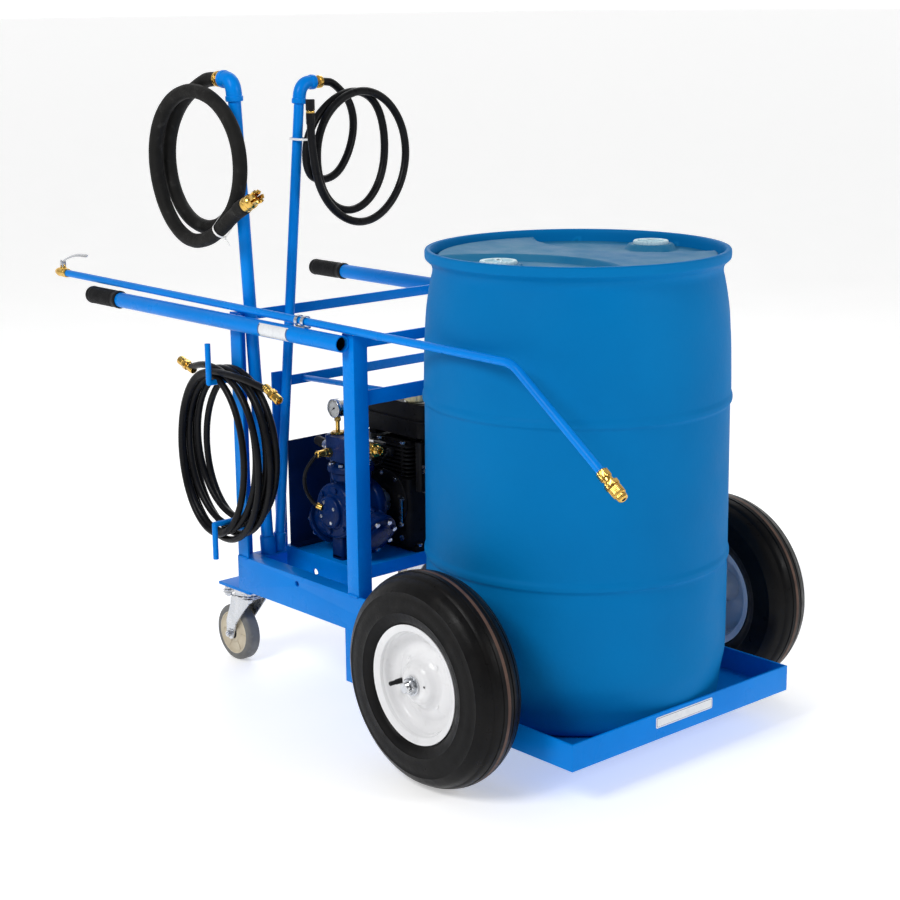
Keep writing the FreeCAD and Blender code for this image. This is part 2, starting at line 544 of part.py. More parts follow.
def make_axles():
    """Stub axles welded to the rails' front plates, with washers and nuts at their ends."""
    stubs, nuts = [], []
    for side, s in SIDES:
        outward = V(0, s, 0)
        stub = rod(f"stub_{side}", "axle_radius", ("0", f"{s} * frame_half", "axle_height"),
                   "axle_end - frame_half", outward)
        boss = rod(f"stub_boss_{side}", "stub_boss_radius", ("0", f"{s} * frame_half", "axle_height"),
                   "wheel_mid - rim_half - stub_boss_gap - frame_half", outward)
        stubs.append(fuse(f"stub_axle_{side}", stub, boss))
        rim_face = "wheel_mid + rim_half + washer_gap"
        washer = tube(f"washer_{side}", "washer_radius", "axle_radius",
                      ("0", f"{s} * ({rim_face})", "axle_height"), "washer_thick", outward)
        nut = tube(f"nut_{side}", "nut_radius", "axle_radius",
                   ("0", f"{s} * ({rim_face} + washer_thick)", "axle_height"), "nut_thick", outward)
        nuts += [washer, nut]
    subpart("stub_axles", *stubs)
    subpart("axle_nuts", *nuts)


# ---------------------------------------------------------------- drum

def make_drum():
    """A blow-moulded tight-head drum: two hoops, a carrying ring and two bung holes."""
    shell = turned("drum_shell", DRUM_OUTSIDE)
    hollow = turned("drum_hollow", DRUM_INSIDE)
    holes = [rod(f"bung_hole_{side}", "bung_radius", ("0", f"{s} * bung_offset", "bung_stem_bottom"),
                 "2 * bung_stem") for side, s in SIDES]
    for item in (shell, hollow):
        bind_place(item)
    drum = cut("drum_body", shell, hollow, *holes)
    bind_place(drum, "drum_x", "drum_y", "tray_bottom + wall + drum_gap")
    subpart("drum", drum)
    bottom = "tray_bottom + wall + bung_stem_bottom"
    for side, s in SIDES:
        across = f"drum_y + {s} * bung_offset"
        stem = rod(f"bung_neck_{side}", "bung_radius - bung_gap", ("drum_x", across, bottom), "bung_stem")
        flange = rod(f"bung_plate_{side}", "bung_flange", ("drum_x", across, f"{bottom} + bung_stem"),
                     "bung_head")
        top = f"{bottom} + bung_stem + bung_head"
        grip = block(f"bung_bar_{side}", ("drum_x - bung_grip_long", "drum_x + bung_grip_long"),
                     (f"{across} - bung_grip_half", f"{across} + bung_grip_half"),
                     (top, f"{top} + bung_grip_tall"))
        subpart(f"bung_{side}", fuse(f"bung_plug_{side}", stem, flange, grip))


# ---------------------------------------------------------------- engine

def make_engine_base():
    """A folded plate: side webs stand on the deck's straps and a lip closes the front."""
    deep = ("rail_bottom + wall", "base_top")
    outer = block("base_outer", ("base_rear", "base_front"), ("-base_half", "base_half"), deep)
    inner = block("base_inner", ("base_rear - 1", "base_front - wall"),
                  ("wall - base_half", "base_half - wall"), ("rail_bottom", "base_top - wall"))
    under = block("base_under", ("base_front - wall - 1", "base_front + 1"),
                  ("wall - base_half", "base_half - wall"), ("rail_bottom", "base_top - base_lip"))
    hole = rod("base_hole", "base_hole_radius", ("base_hole_x", "-base_half - 1", "base_hole_z"),
               "wall + 2", Y)
    subpart("engine_base", cut("base_plate", outer, inner, under, hole))


def make_engine():
    """A small air-cooled engine whose shaft points to the right, at the pump."""
    feet = block("engine_feet", ("feet_rear", "feet_front"), ("feet_right", "feet_left"),
                 ("base_top", "base_top + feet_height"))
    case = block("crankcase", ("case_rear", "case_front"), ("case_right", "case_left"),
                 ("base_top + feet_height", "case_top"))
    bore = rod("crankcase_bore", "shaft_radius + running_gap", ("shaft_x", "case_right", "shaft_z"),
               "case_bore", Y)
    fins = []
    for i in range(8):
        bottom = f"case_top + fin_start + {i} * fin_pitch"
        fins.append(block(f"fin_{i}", ("case_rear + fin_inset", "case_front - fin_inset"),
                          ("fin_right", "fin_left"), (bottom, f"{bottom} + fin_thick")))
    barrel = block("barrel", ("barrel_rear", "barrel_front"), ("barrel_right", "barrel_left"),
                   ("case_top", "barrel_top"))
    subpart("engine_block", cut("engine", fuse("engine_whole", feet, case, barrel, *fins), bore))
    middle = "shaft_z + cowl_lift"
    cowl = rod("cowl", "cowl_radius", ("shaft_x", "case_left", middle), "cowl_depth", Y)
    room = rod("cowl_space", "cowl_radius - cowl_wall", ("shaft_x", "case_left + cowl_cheek", middle),
               "cowl_room", Y)
    level = "shaft_z + rope_lift"
    hole = rod("rope_way", "rope_hole", ("shaft_x - cowl_radius - cowl_lift", "rope_y", level),
               "cowl_radius + rope_length / 5", X)
    subpart("starter_cover", cut("starter_shell", cowl, room, hole))
    rope = rod("starter_rope", "rope_radius", ("shaft_x + pull_x", "rope_y", level), "rope_length", X)
    handle = rod("starter_handle", "pull_radius", ("shaft_x + pull_x", "pull_y", level), "pull_length", Y)
    subpart("starter_grip", fuse("starter_pull", rope, handle))


def make_engine_dress():
    """Tank, cap, silencer, air cleaner, throttle lever and the guard behind them."""
    corners = [("tank_rear", "tank_right"), ("tank_front", "tank_right"), ("tank_front", "tank_left"),
               ("tank_rear", "tank_left")]
    tank = rounded(padded("tank_box", "XY_Plane", corners, "tank_height"), "tank_corner",
                   lambda e: e.Length < 120 and abs(e.tangentAt(e.FirstParameter).z) > 0.9)
    bind_place(tank, "0", "0", "tank_bottom")
    subpart("fuel_tank", tank)
    subpart("fuel_cap", rod("cap_disc", "cap_radius",
                            ("cap_x", "cap_y", "tank_bottom + tank_height + cap_gap"), "cap_height"))
    subpart("muffler", block("muffler_box", ("muffler_rear", "muffler_front"),
                             ("muffler_right", "muffler_left"), ("muffler_bottom", "muffler_top")))
    box = block("cleaner_box", ("cleaner_rear", "cleaner_front"), ("cleaner_right", "cleaner_left"),
                ("cleaner_bottom", "cleaner_top"))
    neck = block("cleaner_neck", ("case_front", "cleaner_rear"), ("neck_right", "neck_left"),
                 ("neck_bottom", "neck_top"))
    subpart("air_cleaner", fuse("cleaner", box, neck))
    lever = block("throttle_arm", ("throttle_x - throttle_half", "throttle_x + throttle_half"),
                  ("throttle_face", "throttle_face + throttle_thick"), ("throttle_bottom", "throttle_top"))
    knob = dome("throttle_ball", "throttle_knob",
                ("throttle_x", "throttle_knob_y", "throttle_top + throttle_thick"))
    pivot = rod("throttle_pivot", "throttle_knob", ("throttle_x", "throttle_pin_y", "throttle_pin"),
                "throttle_pin_length", Y)
    subpart("throttle_lever", fuse("throttle", lever, knob, pivot))
    across = ("guard_right", "guard_left")
    inner = "guard_rear + guard_thick"
    guard = [block("guard_sheet", ("guard_rear", inner), across, ("base_top", "guard_top")),
             block("guard_flange", (inner, f"{inner} + guard_foot"), across,
                   ("base_top", "base_top + guard_thick"))]
    subpart("rear_guard", fuse("guard", *guard))


# ---------------------------------------------------------------- pump

def pump_ray(angle, distance):
    """A point at a distance from the pump's axis, in the plane across it."""
    turn = math.radians(angle)
    return V(size("shaft_x") + distance * math.cos(turn), size("pump_y"),
             size("shaft_z") + distance * math.sin(turn))


def make_pump():
    """A three-cylinder diaphragm pump with its covers, and the shaft that drives it."""
    core = rod("pump_core", "core_radius", ("shaft_x", "core_start", "shaft_z"), "core_length", Y)
    snout = rod("pump_snout", "snout_radius", ("shaft_x", "core_start - snout_length", "shaft_z"),
                "snout_length", Y)
    foot = block("pump_foot", ("shaft_x - pump_foot_half", "shaft_x + pump_foot_half"),
                 ("pump_foot_right", "pump_foot_left"), ("base_top", "shaft_z"))
    arms, covers = [], []
    arm_radius, arm_length = size("arm_radius"), size("arm_length")
    cover_radius, cover_thick = size("cover_radius"), size("cover_thick")
    for i, angle in enumerate(PUMP_ANGLES):
        out = pump_ray(angle, 1) - pump_ray(angle, 0)
        arms.append(feature(f"pump_arm_{i}",
                            Part.makeCylinder(arm_radius, arm_length, pump_ray(angle, 0), out)))
        disc = Part.makeCylinder(cover_radius, cover_thick, pump_ray(angle, arm_length), out)
        crown = Part.makeCone(cover_radius, size("cover_crown"), size("cover_rise"),
                              pump_ray(angle, arm_length + cover_thick), out)
        covers.append(feature(f"pump_cover_{i}", disc.fuse(crown)))
    bore = rod("pump_shaft_bore", "shaft_radius + running_gap", ("shaft_x", "pump_bore_start", "shaft_z"),
               "pump_bore", Y)
    subpart("pump_body", cut("pump_casting", fuse("pump_whole", core, snout, foot, *arms), bore))
    subpart("pump_covers", *covers)
    shaft = rod("pump_shaft", "shaft_radius", ("shaft_x", "shaft_start", "shaft_z"), "shaft_length", Y)
    coupling = rod("coupling", "coupling_radius", ("shaft_x", "coupling_start", "shaft_z"),
                   "coupling_length", Y)
    subpart("drive_shaft", fuse("shaft_and_coupling", shaft, coupling))


def make_manifold():
    """The outlet block on the pump's top cover, with its gauge, knob, valve and hose."""
    casting = block("manifold_block", ("outlet_rear", "outlet_front"), ("outlet_right", "outlet_left"),
                    ("outlet_bottom", "outlet_top"))
    valve = rod("valve_barrel", "valve_radius", ("outlet_front", "outlet_y", "valve_z"), "valve_length", X)
    collar = rod("valve_collar", "collar_radius", ("collar_x", "outlet_y", "valve_z"), "collar_length", X)
    coupler = rod("coupler", "coupler_radius", ("outlet_rear", "outlet_y", "coupler_z"),
                  "coupler_length", -X)
    barb = rod("hose_barb", "barb_radius", ("barb_x", "outlet_right", "coupler_z"), "barb_length", -Y)
    subpart("pump_manifold", fuse("manifold", casting, valve, collar, coupler, barb))
    stem = rod("gauge_pipe", "gauge_stem", ("gauge_x", "outlet_y", "outlet_top"), "gauge_stem_length")
    case = rod("gauge_case", "gauge_radius", ("gauge_x", "gauge_right", "gauge_z"), "gauge_thick", Y)
    subpart("pressure_gauge", fuse("gauge", stem, case))
    knob = fuse("knob", rod("knob_disc", "knob_radius", ("knob_x", "outlet_y", "knob_z"), "knob_tall"),
                rod("knob_spindle", "knob_screw", ("knob_x", "outlet_y", "outlet_top + knob_gap"),
                    "knob_screw_length"))
    subpart("regulator_knob", knob)
    arm_z = "lever_hub_z + lever_thick"
    lever = fuse("lever", rod("lever_boss", "lever_hub", ("lever_x", "outlet_y", "lever_hub_z"),
                              "lever_hub_tall"),
                 block("lever_arm", ("lever_x", "lever_x + lever_reach"),
                       ("outlet_y - lever_half", "outlet_y + lever_half"),
                       (arm_z, f"{arm_z} + lever_thick")))
    subpart("outlet_valve_lever", lever)
    subpart("pump_hose", hose("small_hose", "pump_hose / 2", PUMP_HOSE))


# ---------------------------------------------------------------- risers and hoses

def round_path(points, share=0.45):
    """Straight runs joined by tangent arcs, each as large as its two runs allow."""
    points = [V(*p) for p in points]
    edges, radii, start = [], [], points[0]
    for before, here, after in zip(points, points[1:], points[2:]):
        arriving, leaving = here - before, after - here
        half_turn = arriving.getAngle(leaving) / 2
        reach = share * min(arriving.Length, leaving.Length)
        radius = reach / math.tan(half_turn)
        into = here - arriving.normalize() * reach
        away = here + leaving.normalize() * reach
        inward = ((into + away) * 0.5 - here).normalize()
        middle = here + inward * (radius / math.cos(half_turn) - radius)
        edges += [Part.LineSegment(start, into).toShape(), Part.Arc(into, middle, away).toShape()]
        radii.append(radius)
        start = away
    edges.append(Part.LineSegment(start, points[-1]).toShape())
    return Part.Wire(edges), radii


def hose(name, radius, points):
    """A round hose swept along a route, with its bend radii and its volume checked."""
    path, radii = round_path(points)
    section = Part.Wire(Part.Circle(V(*points[0]), V(*points[1]) - V(*points[0]), size(radius)).toShape())
    solid = path.makePipeShell([section], True, True)
    expected = math.pi * size(radius) ** 2 * path.Length
    print(name, "length", round(path.Length), "radii", [round(r) for r in radii],
          "volume ratio", round(solid.Volume / expected, 3))
    return feature(name, solid)


def oval(long_half, short_half):
    """A flat face with straight sides and round ends, long along X."""
    run = long_half - short_half
    right = Part.Arc(V(run, -short_half, 0), V(long_half, 0, 0), V(run, short_half, 0))
    left = Part.Arc(V(-run, short_half, 0), V(-long_half, 0, 0), V(-run, -short_half, 0))
    top = Part.LineSegment(V(run, short_half, 0), V(-run, short_half, 0))
    bottom = Part.LineSegment(V(-run, -short_half, 0), V(run, -short_half, 0))
    return Part.Face(Part.Wire([piece.toShape() for piece in (right, top, left, bottom)]))


def coil(name, centre, normal, across, tall, band, thick):
    """The outer shape of a hanging coil: an upright oval ring with its sides square."""
    long_half, short_half = max(across, tall) / 2, min(across, tall) / 2
    disc = oval(long_half, short_half).extrude(V(0, 0, thick))
    hole = oval(long_half - band, short_half - band).extrude(V(0, 0, thick))
    ring = disc.cut(hole)
    upright = FreeCAD.Rotation(Z, 90 if tall > across else 0)
    facing = FreeCAD.Rotation(Z.cross(V(*normal)), Z, V(*normal), "ZXY")
    ring.Placement = FreeCAD.Placement(V(*centre), facing.multiply(upright))
    return feature(name, ring)


def with_tails(name, ring, bore, tails):
    """A coil with the short straight ends of its hose, each from one point to another."""
    stubs = [feature(f"{name}_tail_{i}", Part.makeCylinder(size(bore) / 2, (end - start).Length, start,
                                                          end - start))
             for i, (start, end) in enumerate(tails)]
    return fuse(name + "_whole", ring, *stubs)


def make_mast(kind, elbow_way):
    """A leaning riser: foot socket, pipe, elbow and brass hose tail. Returns the tail's end."""
    radius = size(f"{kind}_radius")
    foot = V(size("mast_x"), size(f"{kind}_foot"), size("rail_top"))
    top = V(size("mast_x"), size(f"{kind}_top"), size(f"{kind}_tall"))
    line = top - foot
    lean = V(line).normalize()
    out = V(*elbow_way)
    below = foot - lean * size("foot_depth")
    knee_at = top + lean * size("knee_rise")
    band_length, band_radius = size("band_length"), radius + size("band_extra")
    pieces = [Part.makeCylinder(radius + size("socket_extra"), size("socket_length"), below, line),
              Part.makeSphere(radius + size("knee_extra"), knee_at),
              Part.makeCylinder(band_radius, band_length, knee_at - lean * band_length, line),
              Part.makeCylinder(band_radius, size("elbow_arm"), knee_at, out)]
    pipe = Part.makeCylinder(radius, line.Length + band_length, below, line)
    pipe = pipe.multiFuse(pieces).removeSplitter()
    under_deck = Part.makeBox(400, 900, 400, V(foot.x - 200, -600, foot.z - 400))
    steel = feature(kind + "_pipe", pipe.cut(under_deck))
    reach = knee_at + out * size("elbow_arm")
    tail_length = size("tail_length")
    tail = feature(kind + "_brass", Part.makeCylinder(radius - size("tail_less"), tail_length, reach, out))
    subpart(kind + "_mast", steel, tail)
    return reach + out * tail_length


def make_risers_and_hoses():
    """The two risers with the hoses that hang coiled from them, and the side coil."""
    suction_exit = make_mast("suction", (-1, 0, 0))
    return_exit = make_mast("return", (0, 1, 0))
    near, far = (V(*point) for point in SUCTION_END)
    ring = coil("suction_ring", **SUCTION_RING)
    subpart("suction_coil", with_tails("suction", ring, "suction_hose", [
        (suction_exit, suction_exit + V(*SUCTION_START)), (near, far)]))
    way = V(*STRAINER_WAY).normalize()
    body = Part.makeCylinder(size("strainer_radius"), size("strainer_length"), far, way)
    tip = Part.makeCylinder(size("strainer_tip"), size("strainer_tip_length"),
                            far + way * size("strainer_length"), way)
    subpart("suction_strainer", feature("strainer", body.fuse(tip)))

    near, far = (V(*point) for point in RETURN_END)
    ring = coil("return_ring", **RETURN_RING)
    subpart("return_coil", with_tails("return", ring, "return_hose", [
        (return_exit, return_exit + V(*RETURN_START)), (near, far)]))
    subpart("return_end", rod("return_plug", "plug_radius", [str(value) for value in RETURN_END[1]],
                              "plug_length"))

    ring = coil("spray_ring", **SPRAY_RING)
    subpart("spray_coil", with_tails("spray", ring, "spray_hose", [
        (V(*near), V(*far)) for near, far, _ in SPRAY_TAILS.values()]))
    ends = []
    for label, (_, far, way) in SPRAY_TAILS.items():
        at, way = V(*far), V(*way).normalize()
        ferrule = Part.makeCylinder(size("ferrule_radius"), size("ferrule_length"), at, way)
        swivel = Part.makeCylinder(size("swivel_radius"), size("swivel_length"),
                                   at + way * size("ferrule_length"), way)
        ends.append(feature(f"spray_end_{label}", ferrule.fuse(swivel)))
    subpart("spray_ends", *ends)


def make_zip_ties():
    """Nylon ties that hold the two hanging coils to their risers."""
    low = tube("tie_suction", "suction_tie", "suction_tie - tie_thick", SUCTION_TIE, "tie_width", V(1, 0, 1))
    high = tube("tie_return", "return_tie", "return_tie - tie_thick",
                ("mast_x", "return_tie_y", "return_tie_z"), "tie_width", Z)
    subpart("zip_ties", low, high)


# ---------------------------------------------------------------- lance

def make_lance():
    """The lance on the right handle: bent tube, brass nozzle, trigger valve and its lever."""
    radius, reach = size("lance_radius"), size("lance_reach")
    bend, turn = size("lance_bend_radius"), math.radians(size("lance_bend"))
    out = V(math.cos(turn), 0, -math.sin(turn))
    after = V(bend * math.sin(turn), 0, -bend * (1 - math.cos(turn)))
    middle = V(bend * math.sin(turn / 2), 0, -bend * (1 - math.cos(turn / 2)))
    tip = after + out * size("lance_drop")
    path = Part.Wire([Part.LineSegment(V(-reach, 0, 0), V()).toShape(),
                      Part.Arc(V(), middle, after).toShape(), Part.LineSegment(after, tip).toShape()])
    section = Part.Wire(Part.Circle(V(-reach, 0, 0), X, radius).toShape())
    tilt = FreeCAD.Placement(V(size("lance_bend_x"), size("lance_y"), size("lance_z")),
                             FreeCAD.Rotation(Y, size("lance_tilt")))
    steps = [Part.makeCylinder(wide, length, tip + out * start, out) for start, length, wide in LANCE_NOZZLE]
    nozzle = steps[0].multiFuse(steps[1:])
    valve = Part.makeCylinder(11, 28, V(-reach - 28, 0, 0), X)
    valve = valve.fuse(Part.makeBox(16, 18, 22, V(-reach - 20, -9, -4)))
    valve = valve.fuse(Part.makeCone(6.5, 9, 10, V(-reach - 38, 0, 0), X))
    pivot = V(-reach - 12, 0, 20)
    lever = Part.makeCylinder(4, 12, pivot + V(0, -6, 4), Y)
    wide = size("trigger_width")
    arm = Part.makeBox(size("trigger_length"), wide, size("trigger_thick"), V(0, -wide / 2, 0))
    arm.rotate(V(), Y, -size("trigger_angle"))
    arm.translate(pivot + V(0, 0, 4))
    for label, shape in (("lance_tube", path.makePipeShell([section], True, True)),
                         ("lance_nozzle", nozzle), ("lance_valve", valve),
                         ("lance_lever", lever.fuse(arm))):
        shape.Placement = tilt.multiply(shape.Placement)
        subpart(label, feature(label + "_shape", shape))


# ---------------------------------------------------------------- build and write

def build():
    make_tray()
    make_tray_uprights()
    make_cross_members()
    make_corner_posts()
    make_frame_bars()
    make_hose_hooks()
    make_lance_clip()
    make_caster_plates()
    make_axles()
    for side, s in SIDES:
        make_rail(side, s)
        make_handle(side, s)
        make_caster(side, s)
        make_big_wheel(side, s)
    make_drum()
    make_engine_base()
    make_engine()
    make_engine_dress()
    make_pump()
    make_manifold()
    make_risers_and_hoses()
    make_zip_ties()
    make_lance()
    doc.recompute()


def check():
    """Stops if any object failed or a sub-part is empty or invalid."""
    for obj in doc.Objects:
        if "Invalid" in obj.State or "Error" in obj.State:
            raise RuntimeError(f"{obj.Name} failed: {obj.State}")
    for obj in finished:
        if obj.Shape.isNull() or not obj.Shape.isValid() or not obj.Shape.Solids:
            raise RuntimeError(f"{obj.Label} has no valid shape")


def write():
    os.makedirs("parts", exist_ok=True)
    for obj in finished:
        obj.Shape.exportStep(f"parts/{obj.Label}.step")
        box = obj.Shape.BoundBox
        print(f"{obj.Label:24s} solids {len(obj.Shape.Solids)}  x {box.XMin:8.1f} {box.XMax:8.1f}"
              f"  y {box.YMin:7.1f} {box.YMax:7.1f}  z {box.ZMin:7.1f} {box.ZMax:7.1f}")


build()
check()
write()
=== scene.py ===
"""The looks of a wheeled sprayer cart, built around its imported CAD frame. Everything is in metres."""
import json
import math
import random

import bmesh
import bpy
from mathutils import Matrix, Vector

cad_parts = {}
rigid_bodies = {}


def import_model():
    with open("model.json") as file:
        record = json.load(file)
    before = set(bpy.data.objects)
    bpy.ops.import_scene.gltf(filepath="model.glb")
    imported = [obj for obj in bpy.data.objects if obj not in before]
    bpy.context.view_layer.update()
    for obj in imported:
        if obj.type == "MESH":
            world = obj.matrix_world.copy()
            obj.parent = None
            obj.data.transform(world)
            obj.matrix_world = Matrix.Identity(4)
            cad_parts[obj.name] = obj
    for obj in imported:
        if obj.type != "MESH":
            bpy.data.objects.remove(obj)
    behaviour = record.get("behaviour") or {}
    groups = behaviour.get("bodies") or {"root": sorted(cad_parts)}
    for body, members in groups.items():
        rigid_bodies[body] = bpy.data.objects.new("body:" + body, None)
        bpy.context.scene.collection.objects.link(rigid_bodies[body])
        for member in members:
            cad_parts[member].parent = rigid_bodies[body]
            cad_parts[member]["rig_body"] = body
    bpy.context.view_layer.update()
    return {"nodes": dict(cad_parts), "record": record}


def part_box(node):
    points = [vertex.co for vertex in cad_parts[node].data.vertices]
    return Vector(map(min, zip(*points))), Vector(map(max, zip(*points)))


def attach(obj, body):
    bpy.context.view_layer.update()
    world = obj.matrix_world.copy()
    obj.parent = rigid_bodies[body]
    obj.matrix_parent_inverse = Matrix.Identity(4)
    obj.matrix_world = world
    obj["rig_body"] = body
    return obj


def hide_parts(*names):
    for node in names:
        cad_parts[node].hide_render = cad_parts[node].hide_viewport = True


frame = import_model()

X, Y, Z = Vector((1, 0, 0)), Vector((0, 1, 0)), Vector((0, 0, 1))
MM = 0.001
AXLE_X = sum(corner.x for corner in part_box("rim_right")) / 2
SIDES = (("right", -1), ("left", 1))
SLOTS = {row["node"]: row["material_slot"] for row in frame["record"]["subparts"]}
random.seed(7)


def at(x, y, z):
    """A point given in millimetres from the big wheels' axle, on the floor, in the frame's metres."""
    return Vector((AXLE_X + x * MM, y * MM, z * MM))


def spot(node):
    """A CAD node's lowest corner, highest corner and middle."""
    low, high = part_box(node)
    return low, high, (low + high) / 2


BACKDROP_WAY = (-0.747, 0.664, 0.0)  # the level direction in which the camera looks

# ---------------------------------------------------------------- materials

def material(name, colour, roughness, metallic=0.0, other=None, patch=6.0, spread=0.08, grain=(),
             coat=0.0, specular=0.22, streak=None, dust=None):
    """A procedural surface: mottled colour, uneven roughness and one bump per (scale, height) grain."""
    made = bpy.data.materials.new(name)
    made.use_nodes = True
    nodes, links = made.node_tree.nodes, made.node_tree.links
    shader = nodes["Principled BSDF"]
    shader.inputs["Metallic"].default_value = metallic
    shader.inputs["Coat Weight"].default_value = coat
    shader.inputs["Coat Roughness"].default_value = 0.12
    shader.inputs["Specular IOR Level"].default_value = specular
    place = nodes.new("ShaderNodeTexCoord").outputs["Object"]

    def noise(scale, detail=4.0, stretch=None):
        source = place
        if stretch:
            mapping = nodes.new("ShaderNodeMapping")
            mapping.inputs["Scale"].default_value = stretch
            links.new(place, mapping.inputs["Vector"])
            source = mapping.outputs["Vector"]
        made_noise = nodes.new("ShaderNodeTexNoise")
        made_noise.inputs["Scale"].default_value = scale
        made_noise.inputs["Detail"].default_value = detail
        links.new(source, made_noise.inputs["Vector"])
        return made_noise.outputs["Fac"]

    def ramp(value, low, high, start, end):
        band = nodes.new("ShaderNodeMapRange")
        for socket, number in zip(("From Min", "From Max", "To Min", "To Max"), (low, high, start, end)):
            band.inputs[socket].default_value = number
        links.new(value, band.inputs["Value"])
        return band.outputs["Result"]

    def mix(factor, first, second):
        blend = nodes.new("ShaderNodeMix")
        blend.data_type = "RGBA"
        links.new(factor, blend.inputs["Factor"])
        for socket, value in ((blend.inputs[6], first), (blend.inputs[7], second)):
            if isinstance(value, bpy.types.NodeSocket):
                links.new(value, socket)
            else:
                socket.default_value = (*value, 1)
        return blend.outputs[2]

    second = other or tuple(c * 0.8 for c in colour)
    tone = mix(ramp(noise(patch), 0.35, 0.65, 0, 1), colour, second)
    if streak:
        tone = mix(ramp(noise(9, 6, streak[0]), 0.56, 0.74, 0, streak[2]), tone, streak[1])
    if dust:
        tone = mix(ramp(noise(dust[0], 8), 0.6, 0.72, 0, dust[2]), tone, dust[1])
    links.new(tone, shader.inputs["Base Color"])
    rough = ramp(noise(patch * 3, 6), 0.3, 0.7, max(0.02, roughness - spread), roughness + spread)
    links.new(rough, shader.inputs["Roughness"])
    normal = None
    for scale, height in grain:
        bump = nodes.new("ShaderNodeBump")
        bump.inputs["Distance"].default_value = height
        bump.inputs["Strength"].default_value = 0.6
        links.new(noise(scale, 3), bump.inputs["Height"])
        if normal:
            links.new(normal, bump.inputs["Normal"])
        normal = bump.outputs["Normal"]
    if normal:
        links.new(normal, shader.inputs["Normal"])
    return made


ENAMEL = material("azure_enamel", (0.0, 0.235, 0.78), 0.3, other=(0.0, 0.200, 0.69), patch=5, spread=0.06,
                  grain=((260, 0.0003), (35, 0.0008)), specular=0.09, dust=(60, (0.01, 0.24, 0.70), 0.2))
# The pump's paint: the frame's blue darkened to navy, painted shade for the shadow the pump sits in within the
# engine bay.
PUMP_PAINTED_SHADE = material("pump_enamel_painted_shade", (0.0, 0.018, 0.105), 0.3, other=(0.0, 0.012, 0.07), patch=18,
                     grain=((420, 0.0006), (90, 0.0012)), coat=0.03, specular=0.11,
                     dust=(80, (0.006, 0.024, 0.075), 0.3))
# The rear guard's enamel: the azure frame enamel darkened to navy, painted shade for the shadow on the guard's
# face.
GUARD_PAINTED_SHADE = material("guard_enamel_painted_shade", (0.0, 0.014, 0.085), 0.4, other=(0.0, 0.010, 0.06), patch=12,
                grain=((300, 0.0003),), dust=(60, (0.02, 0.03, 0.09), 0.3))
DRUM_BLUE = material("drum_polyethylene", (0.0, 0.155, 0.42), 0.56, other=(0.0, 0.172, 0.455), patch=3.2,
                     spread=0.07, grain=((700, 0.0002), (120, 0.0005), (9, 0.0025)), specular=0.05,
                     streak=((1, 1, 0.12), (0.0, 0.17, 0.45), 0.35))
DRUM_TOP = material("drum_head", (0.006, 0.15, 0.33), 0.5, other=(0.035, 0.19, 0.34), patch=7, spread=0.08,
                    grain=((650, 0.0003), (60, 0.0008)), specular=0.04, dust=(30, (0.05, 0.20, 0.34), 0.35))
BUNG_WHITE = material("bung_polyethylene", (0.52, 0.70, 0.76), 0.42, other=(0.46, 0.64, 0.72), patch=30,
                      grain=((900, 0.0002),))
RIM_WHITE = material("rim_enamel", (0.83, 0.83, 0.84), 0.22, other=(0.76, 0.76, 0.77), patch=12, spread=0.07,
                     grain=((300, 0.0003), (40, 0.0012)), coat=0.15, dust=(50, (0.5, 0.48, 0.45), 0.25))
TYRE_BLACK = material("tyre_rubber", (0.004, 0.004, 0.0045), 0.36, other=(0.007, 0.0065, 0.0065), patch=14,
                      spread=0.1, grain=((900, 0.0004), (70, 0.0008)), specular=0.11,
                      dust=(28, (0.014, 0.013, 0.012), 0.4))
TYRE_LINE = material("tyre_mould_line", (0.13, 0.075, 0.055), 0.6, other=(0.08, 0.045, 0.034), patch=30,
                     grain=((500, 0.0006),))
HOSE_WRAPPED = material("wrapped_hose", (0.010, 0.010, 0.0095), 0.6, other=(0.015, 0.0145, 0.014), patch=25,
                        spread=0.1, grain=((1100, 0.0007), (240, 0.0009)), specular=0.1,
                        dust=(50, (0.05, 0.05, 0.048), 0.4))
HOSE_SMOOTH = material("smooth_hose", (0.005, 0.005, 0.006), 0.33, other=(0.009, 0.009, 0.010), patch=20,
                       spread=0.1, grain=((800, 0.0003), (120, 0.0006)), specular=0.12,
                       dust=(60, (0.018, 0.018, 0.018), 0.3))
GRIP_BLACK = material("grip_vinyl", (0.008, 0.008, 0.009), 0.5, other=(0.013, 0.013, 0.014), patch=40,
                      grain=((1200, 0.0004), (200, 0.0006)), specular=0.12)
PLASTIC_BLACK = material("moulded_black", (0.008, 0.008, 0.009), 0.42, other=(0.014, 0.014, 0.015), patch=30,
                         grain=((1300, 0.0003),), specular=0.14)
ENGINE_BLACK = material("engine_enamel", (0.006, 0.006, 0.007), 0.34, other=(0.011, 0.011, 0.012), patch=25,
                        spread=0.1, grain=((500, 0.0005),), specular=0.08,
                        dust=(70, (0.014, 0.014, 0.014), 0.2))
CAST_GREY = material("cast_aluminium", (0.42, 0.43, 0.44), 0.45, metallic=0.9, other=(0.3, 0.31, 0.32),
                     patch=40, spread=0.12, grain=((600, 0.0006), (90, 0.0008)))
ZINC = material("zinc_plate", (0.66, 0.67, 0.69), 0.27, metallic=1.0, other=(0.55, 0.57, 0.6), patch=35,
                spread=0.1, grain=((700, 0.0002), (60, 0.0004)), dust=(90, (0.35, 0.34, 0.31), 0.3))
STEEL = material("bright_steel", (0.7, 0.71, 0.72), 0.18, metallic=1.0, other=(0.6, 0.61, 0.63), patch=60,
                 grain=((900, 0.0001),))
BRASS = material("machined_brass", (0.80, 0.52, 0.13), 0.2, metallic=1.0, other=(0.66, 0.40, 0.09), patch=60,
                 spread=0.08, grain=((900, 0.0002), (90, 0.0003)), dust=(120, (0.35, 0.2, 0.06), 0.4))
TREAD_GREY = material("caster_tread", (0.17, 0.17, 0.165), 0.5, other=(0.12, 0.12, 0.118), patch=30,
                      spread=0.1, grain=((900, 0.0003), (60, 0.0006)), dust=(60, (0.3, 0.29, 0.27), 0.5))
